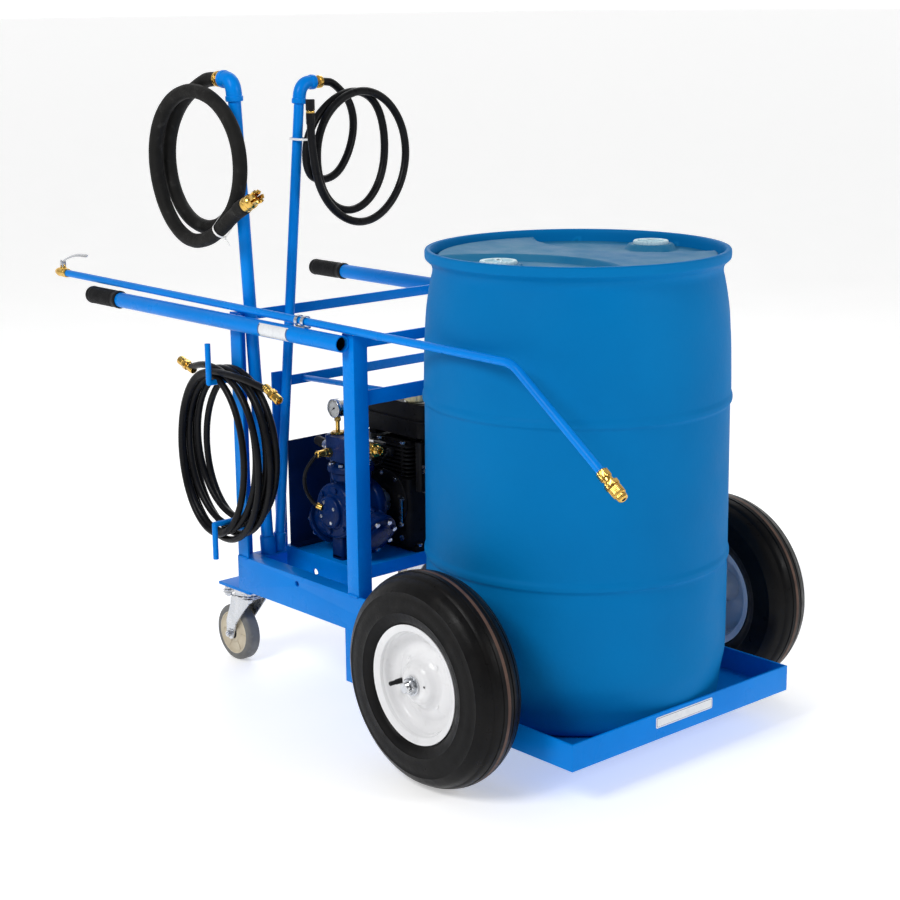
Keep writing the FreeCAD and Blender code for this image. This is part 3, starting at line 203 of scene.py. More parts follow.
HUB_BEIGE = material("caster_hub", (0.62, 0.55, 0.42), 0.4, other=(0.54, 0.47, 0.35), patch=30,
                     grain=((800, 0.0003),))
NYLON = material("white_nylon", (0.84, 0.84, 0.83), 0.35, other=(0.78, 0.78, 0.77), patch=60,
                 grain=((900, 0.0001),))
VINYL = material("label_vinyl", (0.80, 0.82, 0.84), 0.3, other=(0.75, 0.77, 0.8), patch=40,
                 grain=((700, 0.0001),), coat=0.3)
LABEL_GREY = material("label_border", (0.08, 0.16, 0.34), 0.35, patch=60, grain=((700, 0.0001),))
# The gauge's dial: greyed from white, painted shade for the dim look of its obliquely seen face.
DIAL_PAINTED_SHADE = material("gauge_dial", (0.5, 0.51, 0.5), 0.4, patch=80, grain=((900, 0.0001),))
PAINT_CREAM = material("cap_cream", (0.70, 0.62, 0.36), 0.4, other=(0.6, 0.52, 0.28), patch=60,
                       grain=((700, 0.0002),))
# Painted shade: a near-black surface put inside bores, holes and slots where only shadow is seen.
BORE_SHADE = material("shadowed_bore", (0.006, 0.006, 0.007), 0.7, patch=40, grain=((500, 0.0004),))


# ---------------------------------------------------------------- mesh building

def eased(points, radius, steps=4):
    """An open outline with each inner corner turned into a small curve."""
    points = [Vector(p) for p in points]
    smooth = [points[0]]
    for before, here, after in zip(points, points[1:], points[2:]):
        back, ahead = before - here, after - here
        reach = min(radius, back.length * 0.45, ahead.length * 0.45)
        start, end = here + back.normalized() * reach, here + ahead.normalized() * reach
        for i in range(steps + 1):
            t = i / steps
            smooth.append(start * (1 - t) ** 2 + here * 2 * t * (1 - t) + end * t ** 2)
    return smooth + [points[-1]]


def curve_through(points, steps):
    """A smooth curve through a list of points."""
    points = [Vector(p) for p in points]
    smooth = []
    for i in range(len(points) - 1):
        before, here = points[max(i - 1, 0)], points[i]
        after, last = points[i + 1], points[min(i + 2, len(points) - 1)]
        for k in range(steps):
            t = k / steps
            smooth.append(0.5 * (2 * here + (after - before) * t + (2 * before - 5 * here + 4 * after - last)
                                 * t ** 2 + (3 * here - before - 3 * after + last) * t ** 3))
    return smooth + [points[-1]]


def facing(way, origin=Vector()):
    """The transform that stands a shape drawn along +Z at an origin, along a direction."""
    return Matrix.Translation(origin) @ Vector(way).to_track_quat("Z", "Y").to_matrix().to_4x4()


class Piece:
    """One visible mesh, built up from turned, swept and boxed shapes that each have a material."""

    def __init__(self, name):
        self.name = name
        self.points, self.faces, self.shades, self.materials = [], [], [], []

    def shade(self, surface):
        if surface not in self.materials:
            self.materials.append(surface)
        return self.materials.index(surface)

    def add(self, points, faces, surface, place=None):
        """Adds points and faces; surface is a material, or one per face."""
        start = len(self.points)
        self.points += [place @ Vector(p) if place else Vector(p) for p in points]
        self.faces += [[i + start for i in face] for face in faces]
        many = surface if isinstance(surface, list) else [surface] * len(faces)
        self.shades += [self.shade(s) for s in many]
        return self

    def lathe(self, outline, surface, origin, way, around=48, shape=None, closed=False):
        """Turns an outline of (radius, height) about a direction; shape(angle) can scale the radius."""
        outline = [Vector(p).to_2d() for p in outline]
        points, rings = [], []
        for radius, height in outline:
            if radius < 1e-6:
                rings.append([len(points)] * around)
                points.append(Vector((0, 0, height)))
                continue
            rings.append(list(range(len(points), len(points) + around)))
            for i in range(around):
                angle = 2 * math.pi * i / around
                reach = radius * (shape(angle) if shape else 1)
                points.append(Vector((reach * math.cos(angle), reach * math.sin(angle), height)))
        pairs = list(zip(rings, rings[1:])) + ([(rings[-1], rings[0])] if closed else [])
        faces, shades = [], []
        many = surface if isinstance(surface, list) else [surface] * len(pairs)
        for (low, high), shade in zip(pairs, many):
            for i in range(around):
                j = (i + 1) % around
                face = []
                for index in (low[i], low[j], high[j], high[i]):
                    if index not in face:
                        face.append(index)
                if len(face) > 2:
                    faces.append(face)
                    shades.append(shade)
        return self.add(points, faces, shades, facing(way, Vector(origin)))

    def solid(self, lowest, highest, surface, soft=1.0, place=None, steps=2):
        """A block between two corners with its edges rounded by soft millimetres."""
        return self.prism([(lowest[0], lowest[1]), (highest[0], lowest[1]), (highest[0], highest[1]),
                           (lowest[0], highest[1])], lowest[2], highest[2], surface, soft, place, steps)

    def prism(self, outline, low, high, surface, soft=1.0, place=None, steps=2):
        """A flat outline in XY raised from low to high, with its edges rounded."""
        shape = bmesh.new()
        bottom = [shape.verts.new((x, y, low)) for x, y in outline]
        top = [shape.verts.new((x, y, high)) for x, y in outline]
        shape.faces.new(bottom[::-1])
        shape.faces.new(top)
        for i in range(len(outline)):
            j = (i + 1) % len(outline)
            shape.faces.new((bottom[i], bottom[j], top[j], top[i]))
        if soft:
            bmesh.ops.bevel(shape, geom=list(shape.edges), offset=soft * MM, segments=steps, profile=0.6,
                            affect="EDGES", clamp_overlap=True)
        shape.verts.index_update()
        self.add([v.co.copy() for v in shape.verts], [[v.index for v in f.verts] for f in shape.faces],
                 surface, place)
        shape.free()
        return self

    def tube(self, route, radius, surface, around=14, ends=True, flat=1.0):
        """A tube through a list of points; radius may be one number or one per point."""
        route = [Vector(p) for p in route]
        radii = radius if isinstance(radius, (list, tuple)) else [radius] * len(route)
        points, across = [], None
        for i, here in enumerate(route):
            ahead = (route[min(i + 1, len(route) - 1)] - route[max(i - 1, 0)]).normalized()
            if across is None:
                across = ahead.orthogonal().normalized()
            across = (across - ahead * across.dot(ahead)).normalized()
            other = ahead.cross(across)
            for k in range(around):
                angle = 2 * math.pi * k / around
                points.append(here + (across * math.cos(angle) + other * math.sin(angle) * flat) * radii[i])
        faces = [[i * around + k, i * around + (k + 1) % around, (i + 1) * around + (k + 1) % around,
                  (i + 1) * around + k] for i in range(len(route) - 1) for k in range(around)]
        if ends:
            faces += [list(range(around))[::-1],
                      [(len(route) - 1) * around + k for k in range(around)]]
        return self.add(points, faces, surface)

    def hexagon(self, origin, way, flats, tall, surface, sides=6, bore=0.0):
        """A nut or bolt head with its corners chamfered, flats across, standing on its origin."""
        corner = flats / 2 / math.cos(math.pi / sides)
        ease = corner - flats / 2
        outline = [(bore, 0), (flats / 2, 0), (corner, ease * 0.6), (corner, tall - ease * 0.6),
                   (flats / 2, tall), (bore, tall)]
        points, rings = [], []
        for radius, height in outline:
            rings.append(len(points))
            count = sides * 4
            for i in range(count):
                angle = 2 * math.pi * i / count
                edge = flats / 2 / math.cos((angle % (2 * math.pi / sides)) - math.pi / sides)
                reach = min(radius, edge) if radius > bore else max(radius, 0.0001)
                points.append(Vector((reach * math.cos(angle), reach * math.sin(angle), height)))
        count = sides * 4
        faces = [[a + i, a + (i + 1) % count, b + (i + 1) % count, b + i]
                 for a, b in zip(rings, rings[1:]) for i in range(count)]
        return self.add(points, faces, surface, facing(way, Vector(origin)))

    def bolt(self, origin, way, flats, surface, washer=True, shank=0.0):
        """A hexagon head on a washer, with the end of its shank showing above it if asked."""
        way = Vector(way).normalized()
        base = Vector(origin)
        if washer:
            self.lathe(eased([(0, 0), (flats * 0.85, 0), (flats * 0.85, 0.0012), (0, 0.0012)], 0.0004),
                       surface, base, way, 24)
            base = base + way * 0.0012
        self.hexagon(base, way, flats, flats * 0.55, surface)
        if shank:
            top = base + way * flats * 0.55
            self.lathe(eased([(flats * 0.3, 0), (flats * 0.3, shank - 0.001), (0, shank)], 0.0008), surface,
                       top, way, 16)
        return self

    def done(self, body, slot, replaced=(), sharp=38):
        """Makes the object and puts it on its body; the slot it is given is not used."""
        mesh = bpy.data.meshes.new(self.name)
        mesh.from_pydata([tuple(p) for p in self.points], [], self.faces)
        for surface in self.materials:
            mesh.materials.append(surface)
        mesh.polygons.foreach_set("material_index", self.shades)
        shape = bmesh.new()
        shape.from_mesh(mesh)
        bmesh.ops.remove_doubles(shape, verts=shape.verts, dist=1e-6)
        bmesh.ops.recalc_face_normals(shape, faces=shape.faces)
        shape.to_mesh(mesh)
        shape.free()
        return finish_mesh(self.name, mesh, body, replaced, sharp)


def finish_mesh(name, mesh, body, replaced=(), sharp=38):
    """Shades a mesh smooth between its sharp edges and puts it on its body."""
    mesh.polygons.foreach_set("use_smooth", [True] * len(mesh.polygons))
    mesh.set_sharp_from_angle(angle=math.radians(sharp))
    made = bpy.data.objects.new(name, mesh)
    bpy.context.scene.collection.objects.link(made)
    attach(made, body)
    if replaced:
        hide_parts(*replaced)
    return made


def soften(node, surface, soft, suffix="_softened"):
    """Stands for a folded or flame-cut CAD node: the same shape with its edges eased."""
    source = frame["nodes"][node]
    shape = bmesh.new()
    shape.from_mesh(source.data)
    bmesh.ops.remove_doubles(shape, verts=shape.verts, dist=2e-6)
    bmesh.ops.dissolve_limit(shape, angle_limit=math.radians(1), verts=shape.verts, edges=shape.edges)
    keen = [e for e in shape.edges if len(e.link_faces) == 2 and e.calc_face_angle(0) > math.radians(40)]
    bmesh.ops.bevel(shape, geom=keen, offset=soft * MM, segments=2, profile=0.6, affect="EDGES",
                    clamp_overlap=True)
    mesh = bpy.data.meshes.new(node + suffix)
    bmesh.ops.triangulate(shape, faces=[f for f in shape.faces if len(f.verts) > 4])
    shape.to_mesh(mesh)
    shape.free()
    mesh.materials.clear()
    mesh.materials.append(surface)
    return finish_mesh(node + suffix, mesh, source["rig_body"], (node,))


# ---------------------------------------------------------------- camera, floor and light

def make_camera():
    """The camera: to the right of the cart's front, a little above it."""
    azimuth, pitch, roll = math.radians(48.37), math.radians(13.39), math.radians(0.61)
    back = Vector((math.sin(azimuth) * math.cos(pitch), -math.cos(azimuth) * math.cos(pitch),
                   math.sin(pitch)))
    right = Vector((math.cos(azimuth), math.sin(azimuth), 0))
    up = back.cross(right)
    across = right * math.cos(roll) - up * math.sin(roll)
    upward = right * math.sin(roll) + up * math.cos(roll)
    data = bpy.data.cameras.new("camera")
    data.sensor_width = 36
    data.lens = 75.36
    camera = bpy.data.objects.new("camera", data)
    turn = Matrix((across, upward, back)).transposed().to_4x4()
    camera.matrix_world = Matrix.Translation(at(2468.4, -2550.1, 1415.9)) @ turn
    bpy.context.scene.collection.objects.link(camera)
    bpy.context.scene.camera = camera


def make_light(name, kind, energy, place, target, size=1.0, colour=(1, 1, 1)):
    """A soft lamp at a place, turned to a target."""
    data = bpy.data.lights.new(name, kind)
    data.energy = energy
    data.color = colour
    if kind == "AREA":
        data.shape = "DISK"
        data.size = size
    lamp = bpy.data.objects.new(name, data)
    lamp.location = place
    lamp.rotation_mode = "QUATERNION"
    lamp.rotation_quaternion = (Vector(target) - Vector(place)).to_track_quat("-Z", "Y")
    bpy.context.scene.collection.objects.link(lamp)


def make_stage():
    """A pale glowing floor, a sky that is bright beyond the cart and dimmer behind, and soft lamps."""
    floor = bpy.data.meshes.new("floor")
    half = 200
    floor.from_pydata([(-half, -half, 0), (half, -half, 0), (half, half, 0), (-half, half, 0)], [],
                      [(0, 1, 2, 3)])
    pale = material("pale_floor", (0.90, 0.90, 0.90), 0.5, other=(0.88, 0.88, 0.88), patch=1.5, spread=0.04,
                    grain=((60, 0.0002),))
    glow = pale.node_tree.nodes["Principled BSDF"].inputs
    glow["Emission Color"].default_value = (1, 1, 1, 1)
    glow["Emission Strength"].default_value = 0.42
    floor.materials.append(pale)
    ground = bpy.data.objects.new("floor", floor)
    bpy.context.scene.collection.objects.link(ground)
    bpy.context.scene.view_settings.view_transform = "Standard"
    world = bpy.data.worlds.new("studio")
    world.use_nodes = True
    nodes, links = world.node_tree.nodes, world.node_tree.links
    beyond = nodes.new("ShaderNodeVectorMath")
    beyond.operation = "DOT_PRODUCT"
    beyond.inputs[1].default_value = BACKDROP_WAY
    links.new(nodes.new("ShaderNodeTexCoord").outputs["Generated"], beyond.inputs[0])
    level = nodes.new("ShaderNodeMapRange")
    for socket, number in zip(("From Min", "From Max", "To Min", "To Max"), (0.0, 0.75, 0.24, 1.1)):
        level.inputs[socket].default_value = number
    links.new(beyond.outputs["Value"], level.inputs["Value"])
    links.new(level.outputs["Result"], nodes["Background"].inputs["Strength"])
    nodes["Background"].inputs["Color"].default_value = (1, 1, 1, 1)
    bpy.context.scene.world = world
    make_light("key", "AREA", 95, (0.7, -3.5, 3.3), (0.1, -0.1, 0.5), 1.6)
    make_light("front", "AREA", 50, (4.2, 1.2, 2.4), (0.4, 0, 0.4), 1.3)
    make_light("rim", "AREA", 25, (-2.2, 2.6, 3.2), (0, 0, 0.6), 2.0)


# ---------------------------------------------------------------- hoses

def hose(name, route, diameter, surface, **facts):
    """A free hose: one smooth curve through its route; its length and the other facts given are not used."""
    curve = bpy.data.curves.new(name, "CURVE")
    curve.dimensions = "3D"
    curve.bevel_depth = diameter / 2
    curve.bevel_resolution = 5
    curve.resolution_u = 10
    curve.use_fill_caps = True
    spline = curve.splines.new("NURBS")
    spline.points.add(len(route) - 1)
    for point, place in zip(spline.points, route):
        point.co = (*place, 1)
    spline.order_u = 3
    spline.use_endpoint_u = True
    curve.materials.append(surface)
    made = bpy.data.objects.new(name, curve)
    bpy.context.scene.collection.objects.link(made)
    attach(made, "root")
    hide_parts(facts.pop("node"))
    return made


def value_at(keys, t):
    """The value at t of a list of (t, values...) keys, eased between them."""
    for (start, *first), (end, *second) in zip(keys, keys[1:]):
        if t <= end or end == keys[-1][0]:
            share = min(1, max(0, (t - start) / (end - start)))
            share = share * share * (3 - 2 * share)
            return [a + (b - a) * share for a, b in zip(first, second)]


def winding(keys, start, finish, way=1, steps=16):
    """Points round an upright coil from one turn number to another.

    A key is (turn, middle across, middle height, half width, half height, depth); the hose is at the
    top at whole turns and leaves it towards -across, or towards +across where way is -1. Each result
    is (across, height, depth) in millimetres."""
    count = round((finish - start) * steps)
    result = []
    for i in range(count + 1):
        turn = start + (finish - start) * i / count
        middle, level, wide, tall, depth = value_at(keys, turn)
        angle = 2 * math.pi * turn
        result.append((middle - way * wide * math.sin(angle), level + tall * math.cos(angle), depth))
    return result


SUCTION_KEYS = ((0, -806, 1103, 146, 155, -296), (0.25, -800, 1103, 152, 146, -303),
                (0.5, -806, 1104, 144, 143, -312), (0.75, -806, 1103, 146, 143, -324),
                (1, -806, 1103, 148, 143, -333), (1.25, -801, 1103, 146, 150, -340),
                (1.5, -801, 1100, 145, 165, -347), (1.75, -801, 1100, 150, 160, -352))
RETURN_KEYS = ((0, -40, 1150, 60, 95, -718), (0.25, -55, 1165, 64, 80, -709),
               (0.5, -70, 1140, 66, 86, -700), (0.75, -66, 1110, 69, 100, -693),
               (1, -10, 1112, 110, 124, -686), (1.25, -30, 1112, 102, 126, -682),
               (1.5, -30, 1108, 100, 124, -678), (1.75, -28, 1106, 92, 126, -675),
               (2, 0, 1108, 112, 129, -668), (2.25, 0, 1104, 117, 136, -664),
               (2.5, -10, 1100, 120, 142, -661), (2.75, -20, 1100, 120, 140, -658))
SPRAY_TURNS = ((-344, 678, 297, -898, -612), (-328, 678, 305, -893, -590), (-312, 677, 322, -884, -584),
               (-305, 664, 356, -843, -600), (-319.5, 664, 338, -870, -606),
               (-334, 664, 322, -880, -620), (-348.5, 664, 312, -882, -650),
               (-350, 668, 312, -882, -650))


def make_hoses():
    """The three free hoses, each from the fitting it leaves to the fitting on its far end."""
    turns = [at(x, y, z) for x, z, y in winding(SUCTION_KEYS, 0.1, 1.55)]
    route = [at(-776, -292.5, 1266.5), at(-796, -292.5, 1266.5), at(-824, -293, 1262)]
    route += turns + [at(-704, -349, 968), at(-655, -351, 1002), at(-609, -351, 1026)]
    hose("suction_hose", route, 0.030, HOSE_WRAPPED, node="suction_coil", length=1.6,
         far_end="fitting", stiffness="stiff", lay="coiled",
         with_pieces=[make_strainer(), make_suction_tie()])
    turns = [at(x, y, z) for y, z, x in winding(RETURN_KEYS, 0.12, 2.75, way=-1)]
    route = [at(-722, -70, 1255), at(-722, -55, 1255), at(-720, -36, 1252)]
    route += turns + [at(-658, -144, 1130), at(-658, -146, 1160), at(-658, -146, 1184)]
    hose("return_hose", route, 0.017, HOSE_SMOOTH, node="return_coil", length=2.0,
         far_end="fitting", stiffness="medium", lay="coiled",
         with_pieces=[make_return_end(), make_return_tie()])
    keys = [(turn, (left + right) / 2, (top + bottom) / 2, (right - left) / 2, (top - bottom) / 2, depth)
            for turn, (depth, top, bottom, left, right) in enumerate(SPRAY_TURNS)]
    turns = [at(x, y, z) for x, z, y in winding(keys, 0.04, 7, way=-1)]
    route = [at(-857, -335, 662), at(-836, -337, 668), at(-806, -341, 676), at(-775, -344, 679)]
    route += turns + [at(-735, -351, 671), at(-680, -352, 671), at(-628, -346, 666), at(-574, -335, 651)]
    hose("spray_hose", route, 0.0145, HOSE_SMOOTH, node="spray_coil", length=7.0,
         far_end="fitting", stiffness="medium", lay="coiled", with_pieces=make_spray_ends())


def make_strainer():
    """The crowned foot strainer on the end of the suction hose."""
    way = Vector((56, 0, 27)).normalized()
    base = at(-609, -351, 1026)
    made = Piece("suction_strainer_brass")
    made.lathe(eased([(0.0152, -0.03), (0.0166, -0.028), (0.0166, -0.004), (0.0152, 0)], 0.001),
               HOSE_WRAPPED, base, way, 40)
    made.lathe(eased([(0, -0.002), (0.0135, -0.002), (0.0155, 0), (0.0155, 0.008), (0.014, 0.010),
                      (0.014, 0.013), (0.0155, 0.015), (0.0155, 0.022), (0.012, 0.026), (0.011, 0.03),
                      (0, 0.03)], 0.0012), BRASS, base, way, 40)
    place = facing(way, base)
    for i in range(6):
        turn = place @ Matrix.Rotation(math.pi * i / 3, 4, "Z")
        petal = turn @ Matrix.Translation((0.0035, 0, 0.028)) @ Matrix.Rotation(math.radians(9), 4, "Y")
        made.prism([(0.001, -0.0035), (0.0075, -0.0047), (0.0078, 0.0047), (0.001, 0.0035)], 0, 0.0205,
                   BRASS, 1.2, petal)
    return made.done("root", "brass", ("suction_strainer",))


def make_return_end():
    """The plugged end of the return hose, with its brass ring."""
    base = at(-658, -146, 1184)
    made = Piece("return_hose_plug")
    made.lathe(eased([(0.0085, -0.012), (0.0095, -0.01), (0.0095, 0.012), (0, 0.012)], 0.001),
               HOSE_SMOOTH, base, Z, 32)
    made.lathe(eased([(0, 0.011), (0.0092, 0.011), (0.0092, 0.0155), (0.007, 0.017), (0, 0.017)], 0.0008),
               BRASS, base, Z, 32)
    made.hexagon(base + Z * 0.0165, Z, 0.0165, 0.023, PLASTIC_BLACK)
    return made.done("root", "brass", ("return_end",))


def make_spray_ends():
    """A crimped ferrule and a swivel nut on each end of the long hose."""
    ends = []
    for label, origin, way in (("rear", at(-857, -335, 662), (-34, 0, 11)),
                               ("front", at(-574, -335, 651), (40, 0, -19))):
        way = Vector(way).normalized()
        made = Piece(f"spray_hose_end_{label}")
        made.lathe(eased([(0, -0.016), (0.0076, -0.016), (0.0084, -0.014), (0.0084, 0.004), (0.007, 0.007),
                          (0, 0.007)], 0.0008), BRASS, origin, way, 32)
        for k in range(3):
            made.lathe(eased([(0.0078, 0), (0.009, 0.0008), (0.009, 0.0022), (0.0078, 0.003)], 0.0006),
                       BRASS, origin + way * (0.005 * k - 0.012), way, 32)
        made.hexagon(origin + way * 0.006, way, 0.0195, 0.013, BRASS)
        made.lathe(eased([(0, 0.018), (0.0085, 0.018), (0.0085, 0.021), (0.0098, 0.022), (0.0098, 0.036),
                          (0.0082, 0.038), (0.006, 0.038), (0.006, 0.03), (0, 0.03)], 0.0008), BRASS,
                   origin, way, 32)
        ends.append(made.done("root", "brass", ("spray_ends",) if label == "rear" else ()))
    return ends


def make_tie(name, middle, long_way, axis, long_half, short_half, replaced=()):
    """A nylon band drawn round two things, with its ratchet head and its cut tail."""
    long_way = Vector(long_way).normalized()
    other_way = Vector(axis).cross(long_way).normalized()
    axis = long_way.cross(other_way)
    count, band, skin = 48, 2.3 * MM, 0.6 * MM
    run = long_half - short_half
    points = []
    for i in range(count):
        angle = 2 * math.pi * i / count
        side = run if math.cos(angle) >= 0 else -run
        for reach in (short_half, short_half + skin):
            across = long_way * (side + reach * math.cos(angle)) + other_way * reach * math.sin(angle)
            points += [middle + across - axis * band, middle + across + axis * band]
    faces = []
    for i in range(count):
        a, b = i * 4, (i + 1) % count * 4
        faces += [[a, a + 1, b + 1, b], [a + 2, b + 2, b + 3, a + 3], [a, b, b + 2, a + 2],
                  [a + 1, a + 3, b + 3, b + 1]]
    made = Piece(name).add(points, faces, NYLON)
    head = middle + long_way * (long_half - 0.006) + other_way * (short_half - 0.002)
    place = Matrix.Translation(head) @ Matrix((long_way, axis, other_way)).transposed().to_4x4()
    made.solid((-0.003, -0.0032, -0.001), (0.003, 0.0032, 0.0035), NYLON, 0.7, place)
    made.tube([head, head + other_way * 0.008 + long_way * 0.002, head + other_way * 0.018 + long_way * 0.008],
              0.0013, NYLON, 8)
    return made.done("root", "nylon", replaced)


def make_suction_tie():
    """The tie that holds the suction hose's end against its first turn."""
    return make_tie("suction_hose_tie", at(-712.5, -332.5, 978), (17, -33, -20),
                    (0.82, -0.05, 0.57), 0.038, 0.0168,
                    ("zip_ties",))


def make_return_tie():
    """The tie that holds the return hose against its riser."""
    return make_tie("return_hose_tie", at(-708, -135.5, 1140), (1, 0.05, 0), (0, 0, 1), 0.0275, 0.0135)


# ---------------------------------------------------------------- frame

def make_frame():
    """The welded steel, with its folded and cut edges eased."""
    for node in ("drum_tray", "tray_uprights", "deck_cross_members", "corner_posts", "frame_bars",
                 "deck_rail_right", "deck_rail_left", "engine_base"):
        soften(node, ENAMEL, 0.9)
    # The rear guard takes the darkened enamel copy, which is painted shade and not a paint of its own.
    soften("rear_guard", GUARD_PAINTED_SHADE, 0.9)
    soften("hose_hooks", ENAMEL, 0.5)
    soften("stub_axles", ZINC, 0.5)


# ---------------------------------------------------------------- drum

def make_drum():
    """The blow-moulded drum: its wall and hoops turned, its head raised between two pockets."""
    low, high, middle = spot("drum")
    base = Vector((middle.x, middle.y, low.z))
    hoop = (high.x - low.x) / 2 / MM
    tall = (high.z - low.z) / MM
    wall = [(0, 4), (235, 4), (250, 0), (264, 0), (276, 5), (282, 16), (284.5, 34), (286, 52), (290.5, 78),
            (294.5, 98), (295.2, 130), (295.2, 262)]
    for middle_height in (295, 600):
        wall += [(r, middle_height + h) for r, h in
                 ((293.8, -17), (293.8, -9.5), (hoop - 0.6, -4.5), (hoop - 0.2, -1), (hoop - 0.2, 3),
                  (hoop - 1.0, 6.5), (295.4, 12), (295.2, 30))]
    wall += [(293.4, 700), (289.4, 764), (284.5, 800), (279, 828), (276, 840), (276, 848), (279, 856),
             (286, 862), (290.2, 866), (290.7, 870), (290.7, tall - 4), (288.5, tall), (281, tall),
             (278.5, tall - 4), (277.6, 874), (277.5, 860)]
    outline = eased([(r * MM, h * MM, 0) for r, h in wall], 0.012, 3)
    made = Piece("drum_shell")
    made.lathe(outline, DRUM_BLUE, base, Z, 144)
    add_drum_head(made, base)
    made.done("drum_body", "drum_plastic", ("drum",), sharp=50)
    for side, s in SIDES:
        make_bung(side, s)


def head_height(x, y, bungs):
    """The head's height over its lowest level: raised in the middle, low in two round-edged pockets."""
    pocket_radius, pocket_x, pocket_y, step, boss = 0.238, 0.068, 0.289, 0.012, 0.0116

    def rise(distance, edge, width):
        share = min(1, max(0, (distance - edge + width) / (2 * width)))
        return share * share * (3 - 2 * share)

    level = 1.0
    for s in (-1, 1):
        level *= rise(math.hypot(x + s * pocket_x, y - s * pocket_y), pocket_radius, 0.006)
    height = step * level * (1 - rise(math.hypot(x, y), 0.268, 0.005))
    for centre in bungs:
        height = max(height, boss * (1 - rise(math.hypot(x - centre[0], y - centre[1]), 0.047, 0.004)))
    return height


def add_drum_head(made, base):
    """The head as a fine polar mesh, open where the two bungs screw in."""
    low = 0.860
    bungs = [((spot(f"bung_{side}")[2] - base).x, (spot(f"bung_{side}")[2] - base).y)
             for side, _ in SIDES]
    rings, around, reach = 92, 200, 0.2775
    points = [Vector((0, 0, low + head_height(0, 0, bungs)))]
    for i in range(1, rings + 1):
        radius = reach * i / rings
        for k in range(around):
            angle = 2 * math.pi * k / around
            x, y = radius * math.cos(angle), radius * math.sin(angle)
            points.append(Vector((x, y, low + head_height(x, y, bungs))))
    faces = [[0, 1 + k, 1 + (k + 1) % around] for k in range(around)]
    for i in range(rings - 1):
        inner, outer = 1 + i * around, 1 + (i + 1) * around
        faces += [[inner + k, outer + k, outer + (k + 1) % around, inner + (k + 1) % around]
                  for k in range(around)]

    def open_for_bung(face):
        centre = sum((points[i] for i in face), Vector()) / len(face)
        return any(math.hypot(centre.x - x, centre.y - y) < 0.034 for x, y in bungs)

    faces = [face for face in faces if not open_for_bung(face)]
    made.add(points, faces, DRUM_TOP, Matrix.Translation(base))
    for x, y in bungs:
        neck = base + Vector((x, y, low))
        made.lathe(eased([(0.0385, 0.0080), (0.037, 0.0092), (0.0315, 0.0092), (0.0308, 0.008),
                          (0.0308, -0.03)], 0.0006), DRUM_TOP, neck, Z, 64)
        # A dark disc at the foot of each bung neck, painted shade inside the opening.
        made.lathe([(0, -0.03), (0.0308, -0.03)], BORE_SHADE, neck, Z, 64)


def make_bung(side, s):
    """A pale screw plug: a notched flange, a sunk middle and the bar that a wrench takes."""
    low, high, middle = spot(f"bung_{side}")
    flange = (high.x - low.x) / 2
    top = Vector((middle.x, middle.y, high.z - 0.0012))
    made = Piece(f"bung_{side}_plug")

    def notched(angle):
        return 1 - 0.035 * max(0, math.cos(angle * 24)) ** 2

    made.lathe(eased([(0.0265, -0.0075), (flange - 0.001, -0.0075), (flange, -0.006), (flange, -0.002),
                      (flange - 0.0016, 0)], 0.001), BUNG_WHITE, top, Z, 192, notched)
    made.lathe(eased([(flange - 0.0016, 0), (0.0275, 0), (0.026, -0.0008), (0.0245, -0.0045), (0, -0.0045)],
                     0.0012), BUNG_WHITE, top, Z, 96)
    made.lathe(eased([(0, -0.026), (0.026, -0.026), (0.0285, -0.024), (0.0285, -0.0075), (0.0265, -0.0075)],
                     0.001), BUNG_WHITE, top, Z, 96)
    for k in range(5):
        made.lathe([(0.0284, 0), (0.0296, 0.0012), (0.0284, 0.0024)], BUNG_WHITE,
                   top - Z * (0.0235 - 0.0034 * k), Z, 96)
    made.solid((-0.0235, -0.0035, -0.005), (0.0235, 0.0035, 0.0010), BUNG_WHITE, 1.0,
               Matrix.Translation(top) @ Matrix.Rotation(0.5 * s, 4, "Z"))
    made.lathe(eased([(0, 0.0010), (0.007, 0.0010), (0.008, 0.0002), (0.008, -0.005)], 0.0004), BUNG_WHITE,
               top, Z, 32)
    made.done(f"bung_{side}_body", "bung_plastic", (f"bung_{side}",))


# ---------------------------------------------------------------- big wheels

